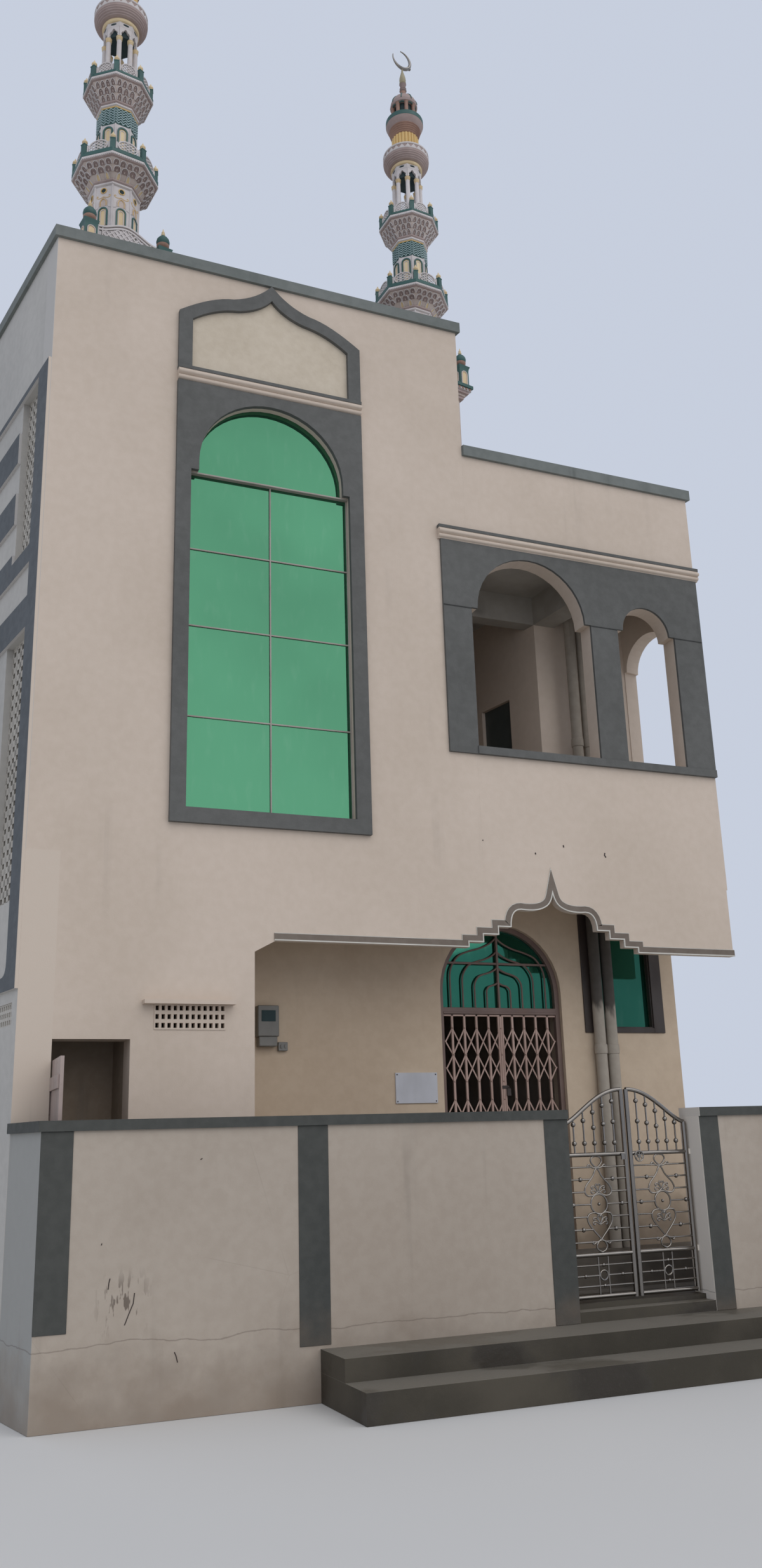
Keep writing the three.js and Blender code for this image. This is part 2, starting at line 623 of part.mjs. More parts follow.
function makeFirstFloorSlab() {
  const slab = onPlan(
    [
      [leftLine(0), 0],
      [rightLine(0), 0],
      [rightLine(hallFront), hallFront],
      [rightLine(hallFront, WALL) - GAP, hallFront],
      [rightLine(rearFace, WALL) - GAP, rearFace],
      [leftLine(rearFace, WALL) + GAP, rearFace],
      [leftLine(WALL, WALL) + GAP, WALL],
      [leftLine(WALL), WALL],
    ],
    SLAB.under,
    SLAB.top,
  );
  const holes = [PIPES.left, PIPES.right].map((x) => {
    const foot = new THREE.Vector3(x, PIPES.y, SLAB.under - OVER);
    const head = new THREE.Vector3(x, PIPES.y, SLAB.top + OVER);
    return rod(foot, head, PIPES.radius + 2 * GAP, 12);
  });
  place("first_floor_slab", without(slab, ...holes), CREAM);
}

function bayHole({ near, far, bottom, top }, start) {
  return onSlant(rectangle(start + near, start + far, bottom, top), -OVER, WALL + OVER);
}

function makeLeftWall() {
  const wall = between(leftLine, (y) => leftLine(y, WALL), WALL, rearFace, PLINTH, wallTop);
  const nib = onPlan(
    [
      [leftLine(0), 0],
      [DOOR.left, 0],
      [DOOR.left, WALL],
      [leftLine(WALL, WALL), WALL],
      [leftLine(2 * WALL, WALL), 2 * WALL],
      [leftLine(2 * WALL), 2 * WALL],
    ],
    PLINTH,
    SLAB.under,
  );
  const holes = SCREEN_BAYS.flatMap((start) => [bayHole(UPPER_SCREEN, start), bayHole(LOWER_SCREEN, start)]);
  const { near, far, bottom, top, deep } = SIDE_VENT;
  const recess = onSlant(rectangle(near, far, bottom, top), -OVER, deep);
  place("left_wall", without(joined(wall, nib), ...holes, recess), SHADE);
}

function makeScreens() {
  SCREEN_BAYS.forEach((start, bay) => {
    for (const [level, size] of Object.entries({ upper: UPPER_SCREEN, lower: LOWER_SCREEN })) {
      const near = start + size.near + GAP;
      const far = start + size.far - GAP;
      const plate = rectangle(near, far, size.bottom + GAP, size.top - GAP);
      const name = `${level}_screen_${bay + 1}`;
      place(name, onSlant(plate, SCREEN.inset, SCREEN.inset + SCREEN.thick), WHITE);
    }
  });
}

// The raised band: one sheet of plaster with openings at the screens, between the stripes and round
// the large panels.
function makeSideBand() {
  const sheet = rectangle(0, BAND.end, BAND.bottom, BAND.top);
  const openings = [];
  for (const start of SCREEN_BAYS) {
    const { near, far, bottom, top } = UPPER_SCREEN;
    openings.push(rectangle(start + near, start + far, bottom, top));
    const long = LONG_PANEL;
    openings.push(rectangle(start + long.near, start + long.far, long.bottom, long.top));
    const panel = new THREE.Shape();
    panel.moveTo(start + PANEL.near + PANEL.corner, PANEL.bottom);
    panel.lineTo(start + PANEL.far, PANEL.bottom);
    panel.lineTo(start + PANEL.far, PANEL.top);
    panel.lineTo(start + PANEL.near, PANEL.top);
    panel.lineTo(start + PANEL.near, PANEL.bottom + PANEL.corner);
    const turn = [start + PANEL.near, PANEL.bottom, start + PANEL.near + PANEL.corner, PANEL.bottom];
    panel.quadraticCurveTo(...turn);
    openings.push(panel);
    for (let i = 0; i < STRIPES.count; i++) {
      const low = STRIPES.first + i * STRIPES.pitch;
      openings.push(rectangle(start + far - 5, start + STRIPES.far, low, low + STRIPES.height));
    }
  }
  const cuts = openings.map((shape) => onSlant(shape, -BAND.proud - OVER, OVER));
  place("side_band", without(onSlant(sheet, -BAND.proud, -GAP), ...cuts), BAND_BLUE);
}

function makeRightWall() {
  const inner = (y) => rightLine(y, WALL);
  const slim = (y) => rightLine(y, ARCADE_WALL);
  const upper = between(slim, rightLine, ARCADE_WALL, rearFace, SLAB.top, wingWallTop);
  const lower = between(inner, rightLine, hallFront, rearFace, PLINTH, SLAB.top);
  const { near, far, impost, ledge } = SIDE_ARCH;
  const middle = (near + far) / 2;
  const opening = archedOpening(near, far, ARCADE.sill, impost, middle, (far - near) / 2 - ledge);
  const cut = onSlant(opening, -WALL - OVER, OVER, FRONT, 0, 8);
  place("right_wall", without(joined(upper, lower), cut), CREAM);
}

function makeRearWall() {
  const low = between(leftLine, rightLine, rearFace, DEPTH, PLINTH, wingWallTop);
  const high = between(leftLine, divide, rearFace, DEPTH, wingWallTop - OVER, wallTop);
  place("rear_wall", joined(low, high), SHADE);
}

// The tall window's outline, moved inwards by inset
function windowShape(inset) {
  const { x, springing } = WINDOW;
  const left = WINDOW.left + inset;
  const right = WINDOW.right - inset;
  const bottom = WINDOW.bottom + inset;
  const ledge = WINDOW.ledge - inset;
  const radius = WINDOW.radius - inset;
  const shape = new THREE.Shape();
  shape.moveTo(left, bottom);
  shape.lineTo(right, bottom);
  shape.lineTo(right, ledge);
  shape.lineTo(x + radius, ledge);
  shape.lineTo(x + radius, springing);
  shape.absarc(x, springing, radius, 0, Math.PI, false);
  shape.lineTo(x - radius, ledge);
  shape.lineTo(left, ledge);
  shape.closePath();
  return shape;
}

function makeMainFront() {
  const wall = between(leftLine, divide, 0, WALL, SLAB.top, wallTop);
  place("main_front_wall", without(wall, onFront(windowShape(0), -OVER, WALL + OVER, 12)), CREAM);
  place("tall_window_glass", onFront(windowShape(GAP), 50, 62, 12), GLASS);
  const sheet = rectangle(SURROUND.left, SURROUND.right, SURROUND.bottom, CORNICE.bottom);
  const hole = onFront(windowShape(0), -SURROUND.proud - OVER, OVER, 12);
  place("window_surround", without(onFront(sheet, -SURROUND.proud, 0), hole), TRIM);
  const mouldings = [0.45, 1, 0.7].map((share, i) => {
    const z = CORNICE.bottom + ((CORNICE.top - CORNICE.bottom) * i) / 3;
    const last = i === 2 ? 0 : OVER;
    const top = CORNICE.bottom + ((CORNICE.top - CORNICE.bottom) * (i + 1)) / 3 + last;
    return box(SURROUND.left, SURROUND.right, -CORNICE.reach * share, 0, z, Math.min(top, CORNICE.top));
  });
  place("window_cornice", joined(...mouldings), CREAM);
}

// Half of the ogee line from its shoulder up to its point, or back down on the other side
function ogeeLine(shape, halfWidth, drop, upwards) {
  const { x } = WINDOW;
  const side = upwards ? -1 : 1;
  const at = (offset) => x + side * offset;
  const waist = [at(OGEE.waistOffset - drop * 0.45), OGEE.waist - drop * 0.9];
  const point = [x, OGEE.top - drop * 1.3];
  const shoulder = [at(halfWidth), OGEE.shoulder - drop * 0.5];
  const bulge = [at(OGEE.waistOffset + 200 - drop * 0.3), OGEE.waist - 28 - drop * 0.9];
  const hollow = [at(140 - drop * 0.35), OGEE.waist + 62 - drop * 0.95];
  if (upwards) {
    shape.lineTo(...shoulder);
    shape.quadraticCurveTo(...bulge, ...waist);
    shape.quadraticCurveTo(...hollow, ...point);
    return;
  }
  shape.quadraticCurveTo(...hollow, ...waist);
  shape.quadraticCurveTo(...bulge, ...shoulder);
}

function ogeeOutline(halfWidth, drop) {
  const shape = new THREE.Shape();
  shape.moveTo(WINDOW.x - halfWidth, CORNICE.top - (drop > 0 ? OVER : 0));
  ogeeLine(shape, halfWidth, drop, true);
  ogeeLine(shape, halfWidth, drop, false);
  shape.lineTo(WINDOW.x + halfWidth, CORNICE.top - (drop > 0 ? OVER : 0));
  shape.closePath();
  return shape;
}

function makeOgeeBand() {
  const half = (SURROUND.right - SURROUND.left) / 2;
  const outer = onFront(ogeeOutline(half, 0), -SURROUND.proud, 0, 8);
  const inner = ogeeOutline(half - SURROUND.band, SURROUND.band);
  place("ogee_band", without(outer, onFront(inner, -SURROUND.proud - OVER, OVER, 8)), TRIM);
}

function makeDivider() {
  const wall = between((y) => divide(y, WALL), divide, WALL, rearFace, SLAB.top, wallTop);
  place("divider_wall", wall, CREAM);
}

function makeWingFront() {
  const wall = between((y) => divide(y) + GAP, rightLine, 0, ARCADE_WALL, SLAB.top, wingWallTop);
  const openings = [BIG_ARCH, SMALL_ARCH].map(({ x, radius, left, right }) =>
    archedOpening(left, right, ARCADE.sill, ARCADE.impost, x, radius),
  );
  const wallCuts = openings.map((shape) => onFront(shape, -OVER, WALL + OVER, 10));
  place("wing_front_wall", without(wall, ...wallCuts), CREAM);
  const sheet = onFront(rectangle(ARCADE.left, FRONT, ARCADE.bottom, ARCADE.top), -ARCADE.proud, 0);
  const sheetCuts = openings.map((shape) => onFront(shape, -ARCADE.proud - OVER, OVER, 10));
  const sill = box(MAIN, FRONT, -ARCADE.proud - 12, -ARCADE.proud + 5, ARCADE.bottom, ARCADE.sill);
  place("arcade_facing", joined(without(sheet, ...sheetCuts), sill), TRIM);
  const { left, right, top, reach } = ARCADE_CORNICE;
  const third = (top - ARCADE.top) / 3;
  const mouldings = [0.45, 1, 0.7].map((share, i) => {
    const z = ARCADE.top + third * i;
    return box(left, right, -reach * share, 0, z, Math.min(z + third + (i === 2 ? 0 : 5), top));
  });
  place("arcade_cornice", joined(...mouldings), CREAM);
}

function makeRoom() {
  const sideLine = (y) => ROOM.left - lean * (y - ROOM.front);
  const front = ROOM.front + THIN;
  const frontWall = between(
    sideLine,
    (y) => rightLine(y, ARCADE_WALL) - GAP,
    ROOM.front,
    front,
    SLAB.top,
    WING_ROOF.under,
  );
  place("room_front_wall", frontWall, CREAM);
  const inner = (y) => sideLine(y) + slantwise(THIN);
  const sideWall = between(sideLine, inner, front, rearFace, SLAB.top, WING_ROOF.under);
  const { near, far, head, thick } = UPPER_DOOR;
  const hole = rectangle(near, far, SLAB.top - OVER, head);
  const cut = onSlant(hole, -OVER, THIN + OVER, ROOM.left, ROOM.front);
  place("room_side_wall", without(sideWall, cut), CREAM);
  const leaf = rectangle(near + GAP, far - GAP, SLAB.top, head - GAP);
  place("upper_door", onSlant(leaf, thick, 2 * thick, ROOM.left, ROOM.front), DARK_DOOR);
}

function makeRoofs() {
  const mainLeft = (y) => leftLine(y, WALL) + GAP;
  const mainRight = (y) => divide(y, WALL) - GAP;
  place("main_roof", between(mainLeft, mainRight, WALL, rearFace, MAIN_ROOF.under, MAIN_ROOF.top), CEMENT);
  const wingLeft = (y) => divide(y) + GAP;
  const wingRight = (y) => rightLine(y, ARCADE_WALL) - GAP;
  const { under, top } = WING_ROOF;
  const slab = between(wingLeft, wingRight, ARCADE_WALL, rearFace, under, top);
  const roomSide = (y) => ROOM.left - lean * (y - ROOM.front) - GAP;
  const across = between(wingLeft, roomSide, ROOM.front, ROOM.front + BEAM.deep, BEAM.under, under + OVER);
  const [left, right] = [BEAM.left, BEAM.right].map((x) => (y) => x - BEAM.lean * (y - ROOM.front));
  const outwards = between(left, right, ARCADE_WALL, ROOM.front, BEAM.under, under + OVER);
  place("wing_roof", joined(slab, across, outwards), CEMENT);
}

function makeCopings() {
  const { reach } = COPING;
  const back = DEPTH + reach;
  const mainOuter = between(
    (y) => leftLine(y, -reach),
    (y) => divide(y, -reach),
    -reach,
    back,
    wallTop,
    MAIN_TOP,
  );
  const mainInner = between(
    (y) => leftLine(y, WALL),
    (y) => divide(y, WALL),
    WALL,
    rearFace,
    wallTop - OVER,
    MAIN_TOP + OVER,
  );
  place("main_coping", without(mainOuter, mainInner), TRIM);
  const wingOuter = between(
    (y) => divide(y) + GAP,
    (y) => rightLine(y, -reach),
    -reach,
    back,
    wingWallTop,
    WING_TOP,
  );
  const wingInner = between(
    (y) => divide(y) - OVER,
    (y) => rightLine(y, ARCADE_WALL),
    ARCADE_WALL,
    rearFace,
    wingWallTop - OVER,
    WING_TOP + OVER,
  );
  place("wing_coping", without(wingOuter, wingInner), TRIM);
}

// Minarets
function makeTower(name, group, roof) {
  const { half, head, platform, cornice } = TOWER;
  const square = (side, z0, z1) => box(-side, side, -side, side, z0, z1);
  const step = (platform - head) / cornice.length;
  const parts = [square(half, roof + GAP, head + OVER)];
  cornice.forEach((side, i) => {
    const foot = head + i * step;
    parts.push(square(side, foot, Math.min(foot + step + 5, platform)));
  });
  const { offset, half: wide, thick, top } = PARAPET;
  const low = platform - OVER;
  for (const side of [-1, 1]) {
    const near = side * offset - thick / 2;
    parts.push(box(near, near + thick, -wide, wide, low, top));
    parts.push(box(-wide, wide, near, near + thick, low, top));
    for (const other of [-1, 1]) {
      parts.push(makeTurret().translate([side * offset, other * offset, 0]));
    }
  }
  place(name + "_tower", joined(...parts), MINARET_CREAM, group);
}

function makeTurret() {
  const { radius, neck, top } = TURRET;
  const profile = [
    [0, TOWER.platform - OVER],
    [radius, TOWER.platform - OVER],
    [radius, neck],
    [radius + 10, neck + 15],
    [radius + 10, neck + 40],
    [radius - 15, neck + 60],
    [radius, neck + 120],
    [radius - 25, neck + 180],
    [20, top - 50],
    [12, top],
    [0, top],
  ];
  return turned(profile, 8);
}

function makeShaft(name, group) {
  const profile = [[0, TOWER.platform + GAP]];
  for (const { shaft, ring, slab, floor, edge, rail } of GALLERIES) {
    const foot = profile.length === 1 ? TOWER.platform + GAP : GALLERIES[0].floor;
    profile.push([shaft, foot], [shaft, ring], [shaft + 24, ring], [shaft + 24, ring + 48]);
    profile.push([shaft + 8, ring + 52], [edge - 30, slab - 15], [edge, slab], [edge, floor]);
    profile.push([edge - 6, floor], [edge - 6, rail], [edge - 6 - RAIL.thick, rail]);
    profile.push([edge - 6 - RAIL.thick, floor]);
  }
  profile.push([0, GALLERIES[1].floor]);
  const parts = [turned(profile, 8)];
  for (const { floor, edge, rail } of GALLERIES) {
    for (let i = 0; i < 8; i++) {
      const angle = ((i + 0.5) / 8) * 2 * Math.PI;
      const reach = edge - RAIL.thick;
      const x = reach * Math.cos(angle);
      const y = reach * Math.sin(angle);
      const foot = new THREE.Vector3(x, y, floor - 10);
      parts.push(rod(foot, new THREE.Vector3(x, y, rail + RAIL.knob), RAIL.post));
    }
  }
  place(name + "_shaft", joined(...parts), MINARET_CREAM, group);
}

function makeLantern(name, group) {
  const base = GALLERIES[1].floor + GAP;
  const { top, body, arch, columns, column, ring } = LANTERN;
  const parts = [
    turned(
      [
        [0, base],
        [body + 5, base],
        [body + 5, base + 40],
        [0, base + 40],
      ],
      8,
    ),
    turned(
      [
        [0, arch],
        [body, arch],
        [body, top],
        [0, top],
      ],
      8,
    ),
  ];
  for (let i = 0; i < columns; i++) {
    const angle = ((i + 0.5) / columns) * 2 * Math.PI;
    const x = ring * Math.cos(angle);
    const y = ring * Math.sin(angle);
    parts.push(rod(new THREE.Vector3(x, y, base + 20), new THREE.Vector3(x, y, arch + 20), column));
  }
  place(name + "_lantern", joined(...parts), MINARET_CREAM, group);
}

function makeCrescent() {
  const { radius, shift, spread, opening, thick, z } = CRESCENT;
  const turn = THREE.MathUtils.degToRad(opening);
  const half = THREE.MathUtils.degToRad(spread);
  const tip = [radius * Math.cos(half) - shift, radius * Math.sin(half)];
  const inner = Math.hypot(...tip);
  const innerHalf = Math.atan2(tip[1], tip[0]);
  const centre = [shift * Math.cos(turn), z + shift * Math.sin(turn)];
  const shape = new THREE.Shape();
  shape.absarc(0, z, radius, turn + half, turn - half + 2 * Math.PI, false);
  shape.absarc(...centre, inner, turn - innerHalf + 2 * Math.PI, turn + innerHalf, true);
  shape.closePath();
  return onFront(shape, -thick / 2, thick / 2, 8);
}

function makeCrown(name, group) {
  const profile = [
    [0, LANTERN.top + GAP],
    [200, LANTERN.top + GAP],
    [284, 13615],
    [294, 13700],
    [286, 13784],
    [165, 13800],
    [165, 14071],
    [205, 14090],
    [205, 14112],
    [180, 14140],
    [192, 14175],
    [242, 14274],
    [242, 14337],
    [166, 14345],
    [166, 14560],
    [178, 14575],
    [160, 14650],
    [110, 14722],
    [50, 14765],
    [34, 14790],
    [34, 15000],
    [18, 15110],
    [14, CROWN_TOP],
    [0, CROWN_TOP],
  ];
  place(name + "_crown", joined(turned(profile, 12), makeCrescent()), MINARET_CREAM, group);
}

function makeMinaret(name, { x, y }, roof) {
  const group = new THREE.Group();
  group.position.set(x, y, 0);
  group.rotation.z = SKEW;
  drawing.add(group);
  makeTower(name, group, roof);
  makeShaft(name, group);
  makeLantern(name, group);
  makeCrown(name, group);
}

makeGroundFloor();
makeYard();
makeYardWall();
makeGateLeaf("gate_leaf_left", LEFT_GATE);
makeGateLeaf("gate_leaf_right", RIGHT_GATE);
makeGroundFloorFront();
makeVentGrille();
makeSideVent();
makeDoorLeaf();
makeVerandaWall();
makeEntrance();
makeFoldingGate();
makeVerandaFittings();
makeFascia();
makeFirstFloorSlab();
makeLeftWall();
makeScreens();
makeSideBand();
makeRightWall();
makeRearWall();
makeMainFront();
makeOgeeBand();
makeDivider();
makeWingFront();
makeRoom();
makeRoofs();
makeCopings();
makeMinaret("left_minaret", LEFT_MINARET, MAIN_ROOF.top);
makeMinaret("right_minaret", RIGHT_MINARET, WING_ROOF.top);

// The origin lies under the middle of the ground floor.
const ORIGIN = { x: 2338, y: DEPTH / 2 };
drawing.position.set(-ORIGIN.x, -ORIGIN.y, 0);

export default root;
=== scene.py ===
"""Looks of a small street mosque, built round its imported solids.

The solids keep their places. This script gives each one its finish and adds the window bars, mouldings,
painted edges, pierced screens, gate scrolls and minaret work, all in metres in the solids' own frame.
"""

import logging
import math
from collections.abc import Iterable, Sequence
from dataclasses import dataclass, field
from enum import Enum

import bmesh
import bpy
from mathutils import Matrix, Vector


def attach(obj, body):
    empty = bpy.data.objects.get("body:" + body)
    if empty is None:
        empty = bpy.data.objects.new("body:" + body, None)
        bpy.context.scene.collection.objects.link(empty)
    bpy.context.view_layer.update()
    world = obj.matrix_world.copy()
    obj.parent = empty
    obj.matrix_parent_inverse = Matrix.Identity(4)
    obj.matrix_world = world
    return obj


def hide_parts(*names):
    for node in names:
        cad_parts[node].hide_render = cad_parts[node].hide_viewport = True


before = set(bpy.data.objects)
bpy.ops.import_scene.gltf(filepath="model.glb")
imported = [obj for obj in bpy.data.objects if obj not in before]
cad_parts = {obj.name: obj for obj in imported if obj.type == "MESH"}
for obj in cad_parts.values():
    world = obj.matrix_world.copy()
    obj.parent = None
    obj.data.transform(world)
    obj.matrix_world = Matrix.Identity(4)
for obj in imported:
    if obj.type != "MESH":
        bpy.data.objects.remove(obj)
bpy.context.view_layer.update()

LOG = logging.getLogger("mosque")
ORIGIN = Vector((2.338, 4.0, 0.0))
SKEW = 11.06
LEAN = math.tan(math.radians(SKEW))
BUILDING = "building"
CREASE = math.radians(35)
CORNER = math.radians(40)

Point = tuple[float, float]
Line = Sequence[Point]
Colour = tuple[float, float, float]


def at(x: float, y: float, z: float) -> Vector:
    """The frame's point for a place given in the drawing's millimetres."""
    return Vector((x, y, z)) / 1000 - ORIGIN


def up(z: float) -> Vector:
    """A step straight up, in metres."""
    return Vector((0, 0, z))


def around(angle: float) -> Vector:
    """The level direction at an angle, in radians."""
    return Vector((math.cos(angle), math.sin(angle), 0))


def turned(degrees: float) -> Matrix:
    """A turn about the upright axis."""
    return Matrix.Rotation(math.radians(degrees), 4, "Z")


def linked(name: str, data: bpy.types.ID) -> bpy.types.Object:
    """A new object of the scene that shows the data."""
    made = bpy.data.objects.new(name, data)
    bpy.context.scene.collection.objects.link(made)
    return made


def paint(red: int, green: int, blue: int) -> Colour:
    """The linear colour of a shade that is given as it looks on a screen, 0 to 255."""
    return tuple(
        share / 12.92 if share <= 0.04045 else ((share + 0.055) / 1.055) ** 2.4
        for share in (red / 255, green / 255, blue / 255)
    )


def smooth(points: Line, steps: int = 5) -> list[Point]:
    """Rounds a line of points.

    Args:
        points: The points that the line goes through.
        steps: How many pieces each stretch becomes.

    Returns:
        The points of the rounded line, with both ends kept.
    """
    ends = [points[0], *points, points[-1]]
    line = []
    for i in range(1, len(ends) - 2):
        before, start, end, after = (Vector(p) for p in ends[i - 1 : i + 3])
        for k in range(steps):
            t = k / steps
            second = (2 * before - 5 * start + 4 * end - after) * t * t
            third = (3 * start - before - 3 * end + after) * t**3
            line.append(tuple(start + ((end - before) * t + second + third) / 2))
    return [*line, tuple(points[-1])]


def bend(start: Point, pull: Point, end: Point, steps: int) -> list[Point]:
    """The points of a curve from start to end that pull draws to itself, both ends included."""
    line = []
    for i in range(steps + 1):
        t = i / steps
        line.append(
            tuple((1 - t) ** 2 * a + 2 * t * (1 - t) * b + t * t * c for a, b, c in zip(start, pull, end))
        )
    return line


def arc(centre: Point, radius: float, start: float, end: float, steps: int) -> list[Point]:
    """The points of an arc of so many steps, between two angles in degrees."""
    angles = (math.radians(start + (end - start) * i / steps) for i in range(steps + 1))
    return [(centre[0] + radius * math.cos(a), centre[1] + radius * math.sin(a)) for a in angles]


def offset(line: Line, distance: float) -> list[Point]:
    """Moves an open line sideways to its left, with sharp corners kept.

    Args:
        line: The line's points.
        distance: How far it moves.

    Returns:
        As many points as the line has.
    """
    moved = []
    for i, point in enumerate(line):
        here = Vector(point)
        into = (here - Vector(line[i - 1])).normalized() if i else None
        out = (Vector(line[i + 1]) - here).normalized() if i + 1 < len(line) else None
        into, out = into or out, out or into
        along = (into + out).normalized()
        across = Vector((-along.y, along.x))
        side = Vector((-into.y, into.x))
        moved.append(tuple(here + across * (distance / max(0.25, across.dot(side)))))
    return moved


class Signal:
    """A number or colour that runs through a node tree, which Python's operators work on."""

    def __init__(self, graph: "Graph", socket: bpy.types.NodeSocket) -> None:
        """Wraps one output socket."""
        self.graph = graph
        self.socket = socket

    def maths(self, operation: str, *values: "Signal | float") -> "Signal":
        """Adds a Math node that works on the values, and returns its result."""
        return self.graph.out("ShaderNodeMath", {"operation": operation}, dict(enumerate(values)))

    def __add__(self, other: "Signal | float") -> "Signal":
        """The sum."""
        return self.maths("ADD", self, other)

    def __radd__(self, other: float) -> "Signal":
        """The sum."""
        return self.maths("ADD", other, self)

    def __sub__(self, other: "Signal | float") -> "Signal":
        """The difference."""
        return self.maths("SUBTRACT", self, other)

    def __rsub__(self, other: float) -> "Signal":
        """The difference."""
        return self.maths("SUBTRACT", other, self)

    def __mul__(self, other: "Signal | float") -> "Signal":
        """The product."""
        return self.maths("MULTIPLY", self, other)

    def __rmul__(self, other: float) -> "Signal":
        """The product."""
        return self.maths("MULTIPLY", other, self)

    def __truediv__(self, other: "Signal | float") -> "Signal":
        """The quotient."""
        return self.maths("DIVIDE", self, other)

    def size(self) -> "Signal":
        """The value without its sign."""
        return self.maths("ABSOLUTE", self)

    def ramp(self, low: float, high: float) -> "Signal":
        """0 at low and 1 at high, with a smooth way between; low may be the larger one."""
        settings = {"interpolation_type": "SMOOTHSTEP"}
        inputs = {"Value": self, "From Min": min(low, high), "From Max": max(low, high)}
        share = self.graph.out("ShaderNodeMapRange", settings, inputs)
        return share if low <= high else 1 - share


class Graph:
    """A node tree with one method that adds nodes to it."""

    def __init__(self, tree: bpy.types.NodeTree) -> None:
        """Takes the tree over as it is."""
        self.tree = tree

    def node(self, kind: str, settings: dict | None = None, inputs: dict | None = None) -> bpy.types.Node:
        """Adds a node.

        Args:
            kind: The node's type.
            settings: Its own values, which are set first.
            inputs: A value or a signal for a socket, by the socket's name or number.

        Returns:
            The node.
        """
        made = self.tree.nodes.new(kind)
        for name, value in (settings or {}).items():
            setattr(made, name, value)
        for name, value in (inputs or {}).items():
            socket = made.inputs[name]
            if isinstance(value, Signal):
                self.tree.links.new(value.socket, socket)
            else:
                socket.default_value = value
        return made

    def out(
        self, kind: str, settings: dict | None = None, inputs: dict | None = None, name: str | int = 0
    ) -> Signal:
        """Adds a node as node() does, and returns the output of that name or number."""
        return Signal(self, self.node(kind, settings, inputs).outputs[name])


class Shader(Graph):
    """A material round one Principled shader, with patterns that lie still on the piece."""

    def __init__(self, name: str, **values: float) -> None:
        """Starts the material.

        Args:
            name: The material's name.
            values: What is the same all over the surface, by the shader's socket with _ for a space.
        """
        self.material = bpy.data.materials.new(name)
        self.material.use_nodes = True
        super().__init__(self.material.node_tree)
        self.tree.nodes.clear()
        inputs = {key.replace("_", " "): value for key, value in values.items()}
        self.shader = self.node("ShaderNodeBsdfPrincipled", inputs=inputs)
        self.node("ShaderNodeOutputMaterial", inputs={0: Signal(self, self.shader.outputs[0])})
        self.place = self.out("ShaderNodeTexCoord", name="Object")
        parts = self.node("ShaderNodeSeparateXYZ", inputs={0: self.place})
        self.x, self.y, self.z = (Signal(self, parts.outputs[i]) for i in range(3))

    @property
    def aside(self) -> Signal:
        """How far right of the left side wall's face a point lies."""
        return self.x + self.y * LEAN + (ORIGIN.x + ORIGIN.y * LEAN)

    @property
    def base(self) -> Signal:
        """What feeds the base colour."""
        return Signal(self, self.shader.inputs["Base Color"].links[0].from_socket)

    def stretched(self, stretch: Colour) -> Signal:
        """The place on the piece, drawn out by a factor along each axis."""
        return self.out("ShaderNodeMapping", inputs={"Vector": self.place, "Scale": stretch})

    def noise(
        self, scale: float, detail: float = 4, stretch: Colour = (1, 1, 1), rough: float = 0.55
    ) -> Signal:
        """Soft noise from 0 to 1, with so many blots to a metre, finer layers, stretch and roughness."""
        inputs = {"Vector": self.stretched(stretch), "Scale": scale, "Detail": detail, "Roughness": rough}
        return self.out("ShaderNodeTexNoise", inputs=inputs)

    def cells(self, scale: float, stretch: Colour) -> Signal:
        """The distance to the nearest edge between irregular cells."""
        inputs = {"Vector": self.stretched(stretch), "Scale": scale}
        return self.out("ShaderNodeTexVoronoi", {"feature": "DISTANCE_TO_EDGE"}, inputs, "Distance")

    def mix(self, share: Signal | float, low: Signal | Colour, high: Signal | Colour) -> Signal:
        """A colour from low to high.

        Args:
            share: 0 for low and 1 for high.
            low: The first colour.
            high: The second colour.

        Returns:
            The mixed colour.
        """
        first, second = (c if isinstance(c, Signal) else (*c, 1.0) for c in (low, high))
        inputs = {0: share, 6: first, 7: second}
        return self.out("ShaderNodeMix", {"data_type": "RGBA"}, inputs, 2)

    def set(self, **signals: Signal) -> "Shader":
        """Feeds the shader's sockets, named with _ for a space, and returns itself."""
        for name, signal in signals.items():
            self.tree.links.new(signal.socket, self.shader.inputs[name.replace("_", " ")])
        return self

    def bump(self, height: Signal, strength: float, distance: float = 0.002) -> "Shader":
        """Raises the surface where height is large, by distance metres, and returns itself."""
        inputs = {"Height": height, "Strength": strength, "Distance": distance}
        return self.set(Normal=self.out("ShaderNodeBump", inputs=inputs))


